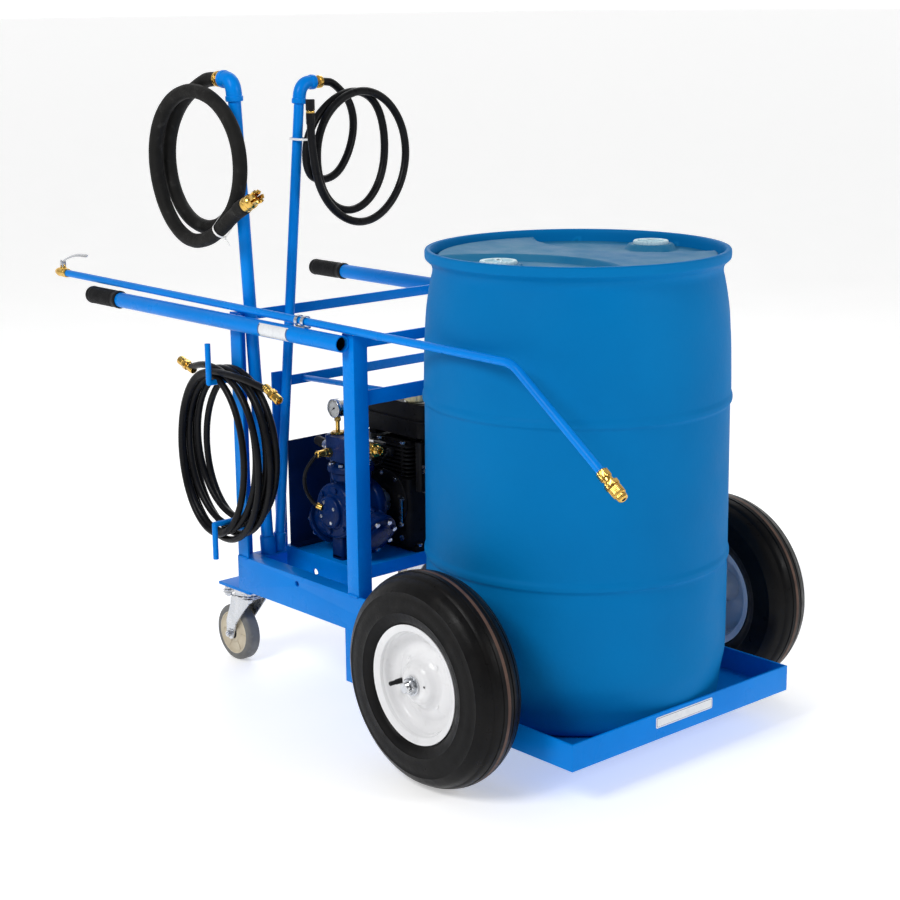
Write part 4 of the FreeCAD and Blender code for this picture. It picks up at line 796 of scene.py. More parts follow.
def make_tyre(side, s):
    """A ribbed pneumatic tyre with its mould lines, and its valve stem."""
    low, high, middle = spot(f"tyre_{side}")
    radius = (high.z - low.z) / 2
    centre = Vector((middle.x, s * 0.404, middle.z))
    sidewall = [(0.0985, 0.034), (0.108, 0.038), (0.1125, 0.042), (0.1144, 0.0468),
                (0.121, 0.0515), (0.130, 0.0545),
                (0.1345, 0.0555), (0.136, 0.0562), (0.1375, 0.0555), (0.150, 0.0558), (0.164, 0.0545),
                (0.1725, 0.0525), (0.174, 0.0530), (0.1755, 0.0520), (0.1825, 0.0478), (0.1880, 0.0440),
                (0.1912, 0.0405)]
    crown = []
    for h, groove in ((0.0375, 0), (0.0315, 0), (0.0305, 1), (0.0285, 1), (0.0275, 0), (0.0205, 0),
                      (0.0145, 0), (0.0135, 1), (0.0115, 1), (0.0105, 0), (0.0045, 0)):
        crown.append((radius - 0.0135 * (h / 0.04) ** 2 - 0.0018 * groove, h))
    ribs = sidewall + crown
    line = 0.0035
    outline = ribs + [(radius, line), (radius, -line)] + [(r, -h) for r, h in reversed(ribs)]
    shades = [TYRE_LINE if abs(a[1]) <= line and abs(b[1]) <= line else TYRE_BLACK
              for a, b in zip(outline, outline[1:])]
    made = Piece(f"tyre_{side}_rubber")
    made.lathe(outline, shades, centre, (0, s, 0), 160)
    made.lathe([(0.0985, -0.034), (0.0985, 0.034)], TYRE_BLACK, centre, (0, s, 0), 64)
    stem = Vector((middle.x - 0.068, s * (0.404 + 0.008), middle.z - 0.016))
    made.lathe(eased([(0, 0), (0.0085, 0), (0.0085, 0.003), (0.0055, 0.007), (0.005, 0.024), (0.0042, 0.025),
                      (0.0042, 0.0385), (0.003, 0.0395), (0, 0.0395)], 0.0008), PLASTIC_BLACK, stem,
               (0, s, 0), 24)
    made.done(f"wheel_{side}", "tyre_rubber", (f"tyre_{side}",), sharp=45)


def make_rim(side, s):
    """A pressed rim: rolled flange, stepped well, dished web, domed hub and its four weld dimples."""
    low, high, middle = spot(f"rim_{side}")
    flange = (high.z - low.z) / 2
    centre = Vector((middle.x, s * 0.404, middle.z))
    face = [(0.0104, 0.0495), (0.0165, 0.0495), (0.0185, 0.0485), (0.030, 0.0475), (0.0385, 0.041),
            (0.0445, 0.030), (0.0515, 0.0235), (0.058, 0.0225), (0.066, 0.0195), (0.076, 0.0145),
            (0.084, 0.0145), (0.0905, 0.018), (0.0945, 0.024), (0.0958, 0.034), (0.0985, 0.0385),
            (0.104, 0.0405), (0.1085, 0.0445), (flange - 0.0012, 0.0468), (flange, 0.0482),
            (flange - 0.0006, 0.0496), (flange - 0.0045, 0.0492), (0.1035, 0.044)]
    made = Piece(f"rim_{side}_pressing")
    outer = eased([(r, h, 0) for r, h in face[:17]], 0.004, 4)
    made.lathe([(p.x, p.y) for p in outer] + [(flange - 0.0004, 0.0462), (flange, 0.0474),
                                              (flange - 0.0004, 0.0484), (0.1100, 0.0478),
                                              (0.1000, 0.0440), (0.0982, 0.0400)],
               RIM_WHITE, centre, (0, s, 0), 96)
    back = [(0.0104, -0.0555), (0.024, -0.0555), (0.0255, -0.053), (0.0255, 0.005), (0.034, 0.020),
            (0.047, 0.017), (0.060, 0.011), (0.080, 0.0085), (0.0925, 0.012), (0.0958, 0.010),
            (0.0958, -0.036), (0.0985, -0.0405), (0.1085, -0.0445), (flange, -0.0474),
            (0.1100, -0.0478), (0.1000, -0.0440), (0.0982, -0.0400), (0.0982, 0.0400)]
    made.lathe(back, RIM_WHITE, centre, (0, s, 0), 96)
    # A dark lining in the hub's bore, painted shade.
    made.lathe([(0.0104, -0.0555), (0.0104, 0.0495)], BORE_SHADE, centre, (0, s, 0), 48)
    for k in range(4):
        angle = math.pi / 4 + k * math.pi / 2
        spot_at = centre + Vector((0.052 * math.cos(angle), s * 0.0232, 0.052 * math.sin(angle)))
        made.lathe(eased([(0.0042, 0.0002), (0.0052, 0.0012), (0.0036, 0.0014), (0.003, 0.0002), (0, 0)],
                         0.0006), RIM_WHITE, spot_at, (0, s, 0), 20)
    # A small dark disc on the hub's face, painted shade in the grease hole.
    grease_hole_shade = centre + Vector((0.030, s * 0.0472, 0.004))
    made.lathe([(0, 0.0008), (0.0022, 0.0008)], BORE_SHADE, grease_hole_shade, (0, s, 0), 16)
    made.done(f"wheel_{side}", "rim_paint", (f"rim_{side}",), sharp=42)


def make_axle_nuts():
    """On each stub axle's end: a wide washer, a castle nut, its split pin and the threads."""
    for side, s in SIDES:
        base = Vector((AXLE_X, s * 0.4546, 0.205))
        way = Vector((0, s, 0))
        made = Piece(f"axle_nut_{side}")
        made.lathe(eased([(0.0108, 0), (0.019, 0), (0.019, 0.003), (0.0108, 0.003)], 0.0006), ZINC, base,
                   way, 40, closed=True)
        made.hexagon(base + way * 0.003, way, 0.027, 0.009, ZINC, bore=0.0104)
        for k in range(5):
            made.lathe([(0.0094, 0), (0.0101, 0.0007), (0.0094, 0.0014)], STEEL,
                       base + way * (0.0125 + 0.0014 * k), way, 32)
        made.tube([base + way * 0.0145 + Vector((-0.014, 0, 0.003)), base + way * 0.0145,
                   base + way * 0.0145 + Vector((0.013, 0, -0.003))], 0.0013, STEEL, 8)
        made.done("root", "zinc", ("axle_nuts",) if side == "right" else ())


# ---------------------------------------------------------------- casters

def make_caster(side, s):
    """A swivel caster: plate and raceway, a fork of pressed zinc, and its wheel."""
    wheel_low, wheel_high, wheel = spot(f"caster_wheel_{side}")
    fork_low, fork_high, fork = spot(f"caster_fork_{side}")
    radius = (wheel_high.z - wheel_low.z) / 2
    swivel_x = wheel.x + 0.042
    half = 0.0165
    tread = eased([(0.047, half - 0.001), (0.056, half - 0.0008), (radius - 0.002, half - 0.0035),
                   (radius, half - 0.007), (radius, 0), (radius, 0.007 - half),
                   (radius - 0.002, 0.0035 - half), (0.056, 0.0008 - half), (0.047, 0.001 - half)], 0.003)
    made = Piece(f"caster_{side}_wheel")
    made.lathe([(p.x, p.y) for p in tread], TREAD_GREY, wheel, Y, 96)
    for way in (Y, -Y):
        hub = eased([(0.0475, half - 0.001, 0), (0.0455, half - 0.0005, 0), (0.0445, half - 0.003, 0),
                     (0.040, half - 0.005, 0), (0.022, half - 0.0045, 0), (0.019, half - 0.0005, 0),
                     (0.0135, half, 0)], 0.0015)
        made.lathe([(p.x, p.y) for p in hub], HUB_BEIGE, wheel, way, 72)
        made.lathe(eased([(0.0135, half), (0.013, half + 0.0008), (0.0105, half + 0.0008), (0.0062, half)],
                         0.0004), PLASTIC_BLACK, wheel, way, 48)
        for k in range(6):
            angle = k * math.pi / 3
            place = Matrix.Translation(wheel) @ Matrix.Rotation(angle, 4, "Y")
            y = half - 0.0046 if way == Y else 0.0046 - half - 0.0014
            made.solid((0.0225, y, -0.0011), (0.0405, y + 0.0014, 0.0011), HUB_BEIGE, 0.4, place, 1)
    made.done(f"roller_{side}", "caster_tread", (f"caster_wheel_{side}",))

    made = Piece(f"caster_{side}_fork")
    crown = fork_high.z
    top = crown - 0.006
    leg = [(swivel_x + 0.028, top), (swivel_x + 0.030, top - 0.010), (swivel_x + 0.012, top - 0.030),
           (wheel.x + 0.020, wheel.z + 0.026), (wheel.x + 0.0135, wheel.z + 0.002),
           (wheel.x + 0.009, wheel.z - 0.010), (wheel.x, wheel.z - 0.0135), (wheel.x - 0.009, wheel.z - 0.010),
           (wheel.x - 0.0135, wheel.z), (wheel.x - 0.0125, wheel.z + 0.030), (swivel_x - 0.036, top - 0.022),
           (swivel_x - 0.036, top - 0.008), (swivel_x - 0.028, top)]
    stand = Matrix.Rotation(math.pi / 2, 4, "X")
    reach = half + 0.0045
    for y in (-reach - 0.003, reach):
        place = Matrix.Translation(Vector((0, wheel.y + y + 0.003, 0))) @ stand
        made.prism(leg, 0, 0.003, ZINC, 0.7, place)
    made.solid((swivel_x - 0.034, wheel.y - reach - 0.003, top - 0.003),
               (swivel_x + 0.029, wheel.y + reach + 0.003, top), ZINC, 1.2)
    cup = eased([(0, -0.001), (0.027, -0.001), (0.0295, 0.0005), (0.0295, 0.003), (0.026, crown - top),
                 (0, crown - top)], 0.0012)
    made.lathe([(p.x, p.y) for p in cup], ZINC, Vector((swivel_x, wheel.y, top)), Z, 64)
    kingpin = Vector((swivel_x, wheel.y, top - 0.003))
    made.lathe(eased([(0, -0.004), (0.006, -0.004), (0.0075, -0.002), (0.0075, 0)], 0.001), ZINC, kingpin,
               Z, 24)
    for way in (Y, -Y):
        made.bolt(wheel + Vector(way) * (reach + 0.003), way, 0.0125, ZINC, shank=0.0028)
        made.lathe([(0.0055, half + 0.0008), (0.0062, half + 0.0008), (0.0062, reach), (0.0055, reach)],
                   ZINC, wheel, way, 24)
    made.done(f"fork_{side}", "zinc", (f"caster_fork_{side}",))


def make_caster_plates():
    """The casters' top plates with their raceways, and the bolts that hold them to the frame."""
    for side, s in SIDES:
        fork_high = spot(f"caster_fork_{side}")[1]
        wheel = spot(f"caster_wheel_{side}")[2]
        low, high, _ = spot("caster_top_plates")
        swivel = Vector((wheel.x + 0.042, wheel.y, 0))
        made = Piece(f"caster_{side}_plate")
        made.solid((low.x, wheel.y - 0.0325, high.z - 0.0035), (high.x, wheel.y + 0.0325, high.z), ZINC, 0.8)
        made.lathe(eased([(0.0305, 0), (0.0305, 0.003), (0.034, 0.006), (0.034, high.z - 0.003 - fork_high.z),
                          (0, high.z - 0.003 - fork_high.z)], 0.001), ZINC,
                   Vector((swivel.x, swivel.y, fork_high.z + 0.0004)), Z, 64)
        made.done("root", "zinc", ("caster_top_plates",) if side == "right" else ())
    low, high, middle = spot("caster_bolts")
    plate_low, plate_high, _ = spot("caster_top_plates")
    made = Piece("caster_bolts_and_nuts")
    for side, s in SIDES:
        wheel = spot(f"caster_wheel_{side}")[2]
        for x in (low.x + 0.0085, high.x - 0.0085):
            for dy in (-1, 1):
                hole = (high.y - 0.0085 - abs(wheel.y))
                y = wheel.y + dy * hole
                made.bolt(Vector((x, y, plate_low.z)), -Z, 0.0135, ZINC, shank=0.003)
                made.bolt(Vector((x, y, high.z - 0.0092)), Z, 0.0135, ZINC)
    made.done("root", "zinc", ("caster_bolts",))


# ---------------------------------------------------------------- risers, handles and lance

def make_riser(name, node, foot, top, elbow_way, radius):
    """A riser: its foot socket, the leaning pipe, a cast elbow with banded ends and a brass hose tail."""
    lean = (top - foot).normalized()
    knee = top + lean * 0.020
    way = Vector(elbow_way)
    made = Piece(name)
    long = (top - foot).length
    made.lathe(eased([(0, 0), (radius, 0), (radius, long), (0, long)], 0.001), ENAMEL, foot, lean, 48)
    made.lathe(eased([(radius, 0.0), (radius + 0.0035, 0.0), (radius + 0.0035, 0.036),
                      (radius + 0.0022, 0.0395), (radius, 0.0398)], 0.001), ENAMEL, foot, lean, 48)
    arm = 0.034
    bend = []
    for i in range(13):
        t = i / 12
        bend.append((knee - lean * 0.030) * (1 - t) ** 2 + knee * 2 * t * (1 - t)
                    + (knee + way * 0.026) * t ** 2)
    route = [knee - lean * 0.040] + bend + [knee + way * arm]
    body = [radius + 0.0032] * len(route)
    made.tube(route, body, ENAMEL, 40)
    for start, facing_way in ((knee - lean * 0.044, lean), (knee + way * (arm + 0.003), -way)):
        made.lathe(eased([(radius - 0.001, 0), (radius + 0.0042, 0.0005), (radius + 0.0049, 0.002),
                          (radius + 0.0049, 0.010), (radius + 0.0042, 0.0115), (radius + 0.002, 0.0125)],
                         0.001), ENAMEL, start, facing_way, 48)
    tail = knee + way * (arm + 0.002)
    made.hexagon(tail, way, (radius + 0.001) * 2, 0.011, BRASS)
    ring = radius + 0.0028
    made.lathe(eased([(radius * 0.8, 0.010), (ring, 0.011), (ring, 0.018), (radius * 0.8, 0.0185)], 0.001),
               BRASS, tail, way, 40)
    made.done("root", "frame_paint", (node,))


def make_risers():
    """The two risers that the filling and the emptying hose hang from."""
    make_riser("suction_riser", "suction_mast", at(-722, -243, 260), at(-722, -291, 1247), (-1, 0, 0),
               0.01335)
    make_riser("return_riser", "return_mast", at(-722, -215, 260), at(-722, -124, 1235), (0, 1, 0), 0.01065)


def make_handles():
    """Two handle tubes, open in front, each with a ribbed vinyl grip that closes its rear end."""
    for side, s in SIDES:
        low, high, middle = spot(f"handle_{side}")
        radius = (high.z - low.z) / 2
        long = high.x - low.x
        start = Vector((low.x, middle.y, middle.z))
        made = Piece(f"handle_{side}_tube")
        made.lathe(eased([(radius - 0.0026, 0), (radius, 0), (radius, long), (radius - 0.0026, long),
                          (radius - 0.0028, long - 0.012)], 0.0007), ENAMEL, start, X, 64)
        # A dark cone inside the tube's open front end, painted shade in its bore.
        made.lathe([(radius - 0.0027, long - 0.008), (radius - 0.0034, long - 0.03), (0, long - 0.032)], BORE_SHADE,
                   start, X, 48)
        made.done("root", "frame_paint", (f"handle_{side}",))
        low, high, middle = spot(f"grip_{side}")
        grip = (high.z - low.z) / 2
        start = Vector((low.x, middle.y, middle.z))
        long = high.x - low.x
        outline = [(0, 0.0), (0.008, 0.0002), (grip - 0.006, 0.0022), (grip - 0.0012, 0.0075),
                   (grip, 0.0125), (grip - 0.0012, 0.016)]
        for k in range(20):
            begin = 0.020 + k * 0.0042
            outline += [(grip - 0.0012, begin), (grip - 0.0005, begin + 0.0010),
                        (grip - 0.0005, begin + 0.0026), (grip - 0.0012, begin + 0.0036)]
        outline += [(grip - 0.0012, long - 0.012), (grip, long - 0.010), (grip, long - 0.002),
                    (grip - 0.0012, long), (radius + 0.0003, long)]
        made = Piece(f"grip_{side}_sleeve")
        made.lathe(outline, GRIP_BLACK, start, X, 64)
        made.done("root", "black_grip", (f"grip_{side}",))


def lance_line():
    """The lance's points: a straight run, one bend and the drop to its nozzle."""
    tilt, bend = math.radians(0.44), math.radians(35.3)
    bend_at = at(96, -312, 798.5)
    along = Vector((math.cos(tilt), 0, -math.sin(tilt)))
    out = Vector((math.cos(tilt + bend), 0, -math.sin(tilt + bend)))
    up = Vector((math.sin(tilt), 0, math.cos(tilt)))
    radius = 0.060
    centre = bend_at - up * radius
    arc = []
    for i in range(11):
        turn = tilt + bend * i / 10
        arc.append(centre + Vector((math.sin(turn), 0, math.cos(turn))) * radius)
    return bend_at - along * 1.486, arc, arc[-1] + out * 0.252, along, out, up


def make_lance():
    """The spray lance: a bent enamelled tube with a brass nozzle in front and its valve behind."""
    rear, arc, tip, along, out, up = lance_line()
    made = Piece("lance_bent_tube")
    made.tube([rear] + arc + [tip], 0.008, ENAMEL, 32)
    made.done("lance_body", "frame_paint", ("lance_tube",), sharp=60)
    made = Piece("lance_adjustable_nozzle")
    made.hexagon(tip - out * 0.002, out, 0.0205, 0.016, BRASS)
    made.lathe(eased([(0.006, 0.014), (0.0095, 0.0145), (0.0095, 0.021), (0.0078, 0.0225), (0.0078, 0.024)],
                     0.0008), BRASS, tip, out, 40)
    made.hexagon(tip + out * 0.0235, out, 0.0245, 0.0105, BRASS)

    def knurled(angle):
        return 1 - 0.03 * abs(math.sin(angle * 20))

    made.lathe(eased([(0.007, 0.034), (0.0115, 0.0345), (0.0122, 0.037), (0.0122, 0.050), (0.0112, 0.0525),
                      (0.0098, 0.053), (0.0098, 0.0575), (0.0088, 0.0625), (0.0056, 0.064),
                      (0.0042, 0.0632)], 0.0012), BRASS, tip, out, 160, knurled)
    # A dark disc in the nozzle's mouth, painted shade.
    made.lathe([(0, 0.0615), (0.0045, 0.0632)], BORE_SHADE, tip, out, 24)
    made.done("lance_body", "brass", ("lance_nozzle",))
    made = Piece("lance_trigger_valve")
    made.lathe(eased([(0.0055, -0.038), (0.0075, -0.038), (0.009, -0.030), (0.0105, -0.028),
                      (0.011, -0.026), (0.011, -0.004), (0.0102, -0.002), (0.0085, 0.0)], 0.001), BRASS,
               rear, along, 40)
    made.hexagon(rear - along * 0.004, along, 0.0195, 0.012, BRASS)
    # A dark disc in the valve's rear bore, painted shade.
    made.lathe([(0, -0.0365), (0.0056, -0.0378)], BORE_SHADE, rear, along, 24)
    neck = rear - along * 0.012
    made.lathe(eased([(0, 0), (0.008, 0.002), (0.008, 0.012), (0.006, 0.014), (0.0055, 0.018), (0, 0.018)],
                     0.001), BRASS, neck, up, 32)
    low, high, middle = spot("lance_lever")
    made.prism([(-0.006, 0.008), (0.006, 0.008), (0.0055, 0.0265), (0, 0.030), (-0.0055, 0.0265)], -0.0048,
               -0.0030, ZINC, 0.4, Matrix.Translation(neck) @
               Matrix((along, up, along.cross(up))).transposed().to_4x4())
    made.prism([(-0.006, 0.008), (0.006, 0.008), (0.0055, 0.0265), (0, 0.030), (-0.0055, 0.0265)], 0.0030,
               0.0048, ZINC, 0.4, Matrix.Translation(neck) @
               Matrix((along, up, along.cross(up))).transposed().to_4x4())
    made.done("lance_body", "brass", ("lance_valve",))
    pivot = neck + up * 0.024
    lever = Piece("lance_trigger_lever")
    rise = math.radians(14 - 0.44)
    reach = Vector((math.cos(rise), 0, math.sin(rise)))
    over = Vector((-math.sin(rise), 0, math.cos(rise)))
    curve = [pivot + reach * d + over * (0.002 + 0.006 * math.sin(math.pi * d / 0.112)) for d in
             [0.112 * k / 14 for k in range(15)]]
    curve = [p - over * 0.0045 * (i / 14) ** 2 for i, p in enumerate(curve)]
    lever.tube(curve, [0.0050] * 3 + [0.0044] * 9 + [0.0048, 0.0052, 0.0034], ZINC, 20, flat=0.34)
    lever.lathe(eased([(0, -0.006), (0.0035, -0.006), (0.0035, 0.006), (0, 0.006)], 0.0008), ZINC, pivot, Y,
                24)
    lever.done("trigger_body", "zinc", ("lance_lever",))


def make_lance_clip():
    """The zinc saddle that holds the lance on the handle, with its band and its screw."""
    low, high, middle = spot("lance_clip")
    tube_at = Vector((middle.x, -0.312, 0.8025))
    made = Piece("lance_saddle")
    for x in (low.x + 0.006, high.x - 0.006):
        centre = Vector((x, tube_at.y, tube_at.z))
        band = []
        for k in range(19):
            angle = math.radians(-40 - 280 * k / 18)
            band.append(centre + Vector((0, 0.0102 * math.cos(angle), 0.0102 * math.sin(angle))))
        points, faces = [], []
        for p in band:
            away = (p - centre).normalized()
            for dx, dr in ((-0.0045, 0), (0.0045, 0), (0.0045, 0.0014), (-0.0045, 0.0014)):
                points.append(p + away * dr + X * dx)
        for k in range(18):
            a, b = k * 4, k * 4 + 4
            faces += [[a + i, a + (i + 1) % 4, b + (i + 1) % 4, b + i] for i in range(4)]
        faces += [[0, 1, 2, 3], [75, 74, 73, 72]]
        made.add(points, faces, ZINC)
    made.solid((low.x, middle.y - 0.0085, 0.7885), (high.x, middle.y + 0.0085, 0.7925), ZINC, 0.8)
    made.bolt(Vector((middle.x, middle.y, 0.7925)), Z, 0.0075, ZINC, washer=False)
    made.done("root", "zinc", ("lance_clip",))


def make_label(name, corner, across, up, wide, tall):
    """A blank sticker with rounded corners and a thin border."""
    across, up = Vector(across), Vector(up)
    away = across.cross(up)
    place = Matrix.Translation(corner) @ Matrix((across, up, away)).transposed().to_4x4()
    made = Piece(name)

    def sheet(inset, height, surface):
        ease, points = 0.0035 - inset * 0.5, []
        for cx, cy, start in ((wide - inset, tall - inset, 0), (inset, tall - inset, 90),
                              (inset, inset, 180), (wide - inset, inset, 270)):
            mx = cx - math.copysign(ease, cx - wide / 2)
            my = cy - math.copysign(ease, cy - tall / 2)
            for k in range(6):
                angle = math.radians(start + 18 * k)
                points.append((mx + ease * math.cos(angle), my + ease * math.sin(angle)))
        made.prism(points, height, height + 0.00025, surface, 0, place)

    sheet(0, 0.0002, VINYL)
    sheet(0.0022, 0.0004, LABEL_GREY)
    sheet(0.0030, 0.0005, VINYL)
    made.done("root", "nylon")


def make_curved_label():
    """The blank label that wraps the right handle's outer side."""
    low, high, middle = spot("handle_right")
    radius = (high.z - low.z) / 2 + 0.0003
    start, wide = at(-605, 0, 0).x, 0.097
    points, faces, shades = [], [], []
    columns, rows = 24, 14
    for i in range(columns + 1):
        for k in range(rows + 1):
            angle = math.radians(180 - 52 + 104 * k / rows)
            points.append(Vector((start + wide * i / columns, middle.y + radius * math.cos(angle),
                                  middle.z + radius * math.sin(angle))))
    for i in range(columns):
        for k in range(rows):
            a = i * (rows + 1) + k
            faces.append([a, a + 1, a + rows + 2, a + rows + 1])
            shades.append(LABEL_GREY if i in (0, columns - 1) and 0 < k < rows - 1 else VINYL)
    made = Piece("handle_label")
    made.add(points, faces, shades)
    made.done("root", "nylon")


def make_labels():
    """The two blank stickers: on the right handle and on the tray's front edge."""
    make_curved_label()
    low, high, _ = spot("drum_tray")
    make_label("tray_label", Vector((high.x, -0.083, high.z - 0.0285)), (0, 1, 0), (0, 0, 1), 0.159, 0.0215)


def weld(piece, start, end, size=0.0032):
    """A hand-laid fillet bead: overlapping scales from one point to another."""
    start, end = Vector(start), Vector(end)
    count = max(3, round((end - start).length / (size * 1.1)))
    route, radii = [], []
    for i in range(count * 3 + 1):
        t = i / (count * 3)
        route.append(start.lerp(end, t))
        radii.append(size * (0.82 + 0.22 * abs(math.sin(math.pi * t * count)) + random.uniform(-0.04, 0.04)))
    piece.tube(route, radii, ENAMEL, 10)


def make_welds():
    """Beads where the posts meet the rails and handles, and where the cross bars meet the posts."""
    made = Piece("weld_beads")
    post_low, post_high, _ = spot("corner_posts")
    rail_low, rail_high, _ = spot("deck_rail_right")
    bars_low, bars_high, _ = spot("frame_bars")
    leg = 0.035
    for side, s in SIDES:
        outer = s * post_high.y
        for x in (post_low.x, post_high.x - leg):
            weld(made, (x + 0.002, outer, rail_high.z), (x + leg - 0.002, outer, rail_high.z))
            weld(made, (x + 0.003, outer, post_high.z - 0.001), (x + leg - 0.003, outer, post_high.z - 0.001),
                 0.0024)
        inner = s * (post_high.y - 0.005)
        for x, level in ((post_high.x - 0.005, 0.646), (post_high.x - 0.005, 0.676)):
            weld(made, (x, inner - s * 0.002, level), (x, inner - s * 0.028, level), 0.0022)
        tray_low, tray_high, _ = spot("drum_tray")
        for x in (tray_low.x + 0.001, ):
            weld(made, (x, s * 0.18, tray_low.z + 0.002), (x, s * 0.24, tray_low.z + 0.002), 0.0028)
    made.done("root", "frame_paint", sharp=70)


# ---------------------------------------------------------------- engine

def ring_of_bolts(made, centre, way, radius, count, flats, surface, turn=0.0):
    """Bolts evenly round a circle."""
    place = facing(way, centre)
    for k in range(count):
        angle = turn + 2 * math.pi * k / count
        made.bolt(place @ Vector((radius * math.cos(angle), radius * math.sin(angle), 0)), way, flats,
                  surface, washer=False)


def rounded_outline(x0, y0, x1, y1, corner, steps=5):
    """A rectangle with round corners, as points."""
    points = []
    for cx, cy, start in ((x1 - corner, y1 - corner, 0), (x0 + corner, y1 - corner, 90),
                          (x0 + corner, y0 + corner, 180), (x1 - corner, y0 + corner, 270)):
        for k in range(steps + 1):
            angle = math.radians(start + 90 * k / steps)
            points.append((cx + corner * math.cos(angle), cy + corner * math.sin(angle)))
    return points


def slab(made, low, high, surface, corner, soft=1.0):
    """A block with its upright corners well rounded and its other edges eased."""
    made.prism(rounded_outline(low.x, low.y, high.x, high.y, corner * MM), low.z, high.z, surface, soft)


def make_engine_block():
    """Crankcase with its side cover, feet, finned cylinder, spark plug and its lead."""
    low, high, middle = spot("engine_block")
    made = Piece("engine_castings")
    slab(made, at(-620, -51, 284), at(-474, 70, 432), ENGINE_BLACK, 14, 4)
    slab(made, at(-628, -40, 272), at(-466, 70, 284), ENGINE_BLACK, 5, 2)
    for x in (-624, -470):
        for y in (-28, 58):
            made.bolt(at(x, y, 284), Z, 0.010, ZINC, washer=False)
    shaft = at(-547, -50, 378)
    made.lathe(eased([(0.0125, 0), (0.066, 0), (0.066, 0.0035), (0.061, 0.0055), (0.034, 0.0055),
                      (0.030, 0.0078), (0.0125, 0.0078)], 0.0015), ENGINE_BLACK, shaft, -Y, 64)
    ring_of_bolts(made, at(-547, -53, 378), -Y, 0.0585, 8, 0.0085, ZINC, 0.2)
    made.lathe(eased([(0, 0), (0.011, 0), (0.011, 0.004), (0.0085, 0.006), (0, 0.006)], 0.001), PLASTIC_BLACK,
               at(-596, -48, 304), -Y, 20)
    made.hexagon(at(-500, -48, 300), -Y, 0.012, 0.005, ZINC)
    slab(made, at(-592, -30, 430), at(-502, 46, 508), ENGINE_BLACK, 16, 3)
    for i in range(8):
        slab(made, at(-612, -46, 434.6 + 9 * i), at(-482, 62, 438.2 + 9 * i), ENGINE_BLACK, 15, 0.8)
    for x in (-585, -509):
        for y in (-38, 54):
            made.lathe(eased([(0, 0), (0.005, 0), (0.005, 0.070), (0, 0.070)], 0.001), ENGINE_BLACK,
                       at(x, y, 432), Z, 16)
            made.hexagon(at(x, y, 502), Z, 0.011, 0.006, ZINC)
    made.lathe(eased([(0, 0), (0.0065, 0), (0.0085, 0.004), (0.0085, 0.013), (0.006, 0.016), (0, 0.016)],
                     0.001), PLASTIC_BLACK, at(-530, -46, 486), -Y, 24)
    lead = [at(-530, -60, 486), at(-534, -66, 476), at(-552, -64, 458), at(-580, -58, 446),
            at(-604, -50, 442)]
    made.tube(curve_through(lead, 6), 0.0026, PLASTIC_BLACK, 10)
    made.done("root", "engine_black", ("engine_block",))


def make_starter():
    """The pressed cowl with its grille, and the pull handle on its rope."""
    centre = at(-547, 70, 386)
    made = Piece("starter_cowl")
    made.lathe(eased([(0.080, 0.001), (0.092, 0.001), (0.092, 0.030), (0.088, 0.044), (0.076, 0.0515),
                      (0.058, 0.0515), (0.056, 0.047), (0.022, 0.047), (0.020, 0.0515), (0, 0.0515)], 0.004),
               ENGINE_BLACK, centre, Y, 96)
    for k in range(24):
        angle = 2 * math.pi * k / 24
        way = Vector((math.cos(angle), 0, math.sin(angle)))
        made.tube([centre + Y * 0.0478 + way * r for r in (0.022, 0.034, 0.046, 0.0575)], 0.0016,
                  ENGINE_BLACK, 8)
    for ring in (0.034, 0.046):
        loop = [centre + Y * 0.0482 + Vector((math.cos(t), 0, math.sin(t))) * ring for t in
                [2 * math.pi * k / 48 for k in range(49)]]
        made.tube(loop, 0.0013, ENGINE_BLACK, 6, ends=False)
    for k in range(3):
        angle = math.radians(45 + 120 * k)
        made.bolt(centre + Vector((0.084 * math.cos(angle), 0.040, 0.084 * math.sin(angle))), Y, 0.008, ZINC,
                  washer=False)
    made.lathe(eased([(0.0022, 0.0), (0.008, 0.0), (0.009, 0.006), (0.006, 0.010), (0.0022, 0.010)], 0.001),
               PLASTIC_BLACK, at(-613, 96, 446), -X, 24)
    made.done("root", "engine_black", ("starter_cover",))
    pull = Piece("starter_pull_handle")
    pull.tube([at(x, 96, 446) for x in (-627, -600, -560, -520, -491)], 0.0017, NYLON, 10)
    outline = [(0, -0.018), (0.0055, -0.0178), (0.0082, -0.015), (0.0075, -0.008), (0.0088, 0),
               (0.0075, 0.008), (0.0082, 0.015), (0.0055, 0.0178), (0, 0.018)]
    pull.lathe(eased(outline, 0.003), PLASTIC_BLACK, at(-629, 96, 446), Y, 32)
    pull.done("starter_body", "black_grip", ("starter_grip",))


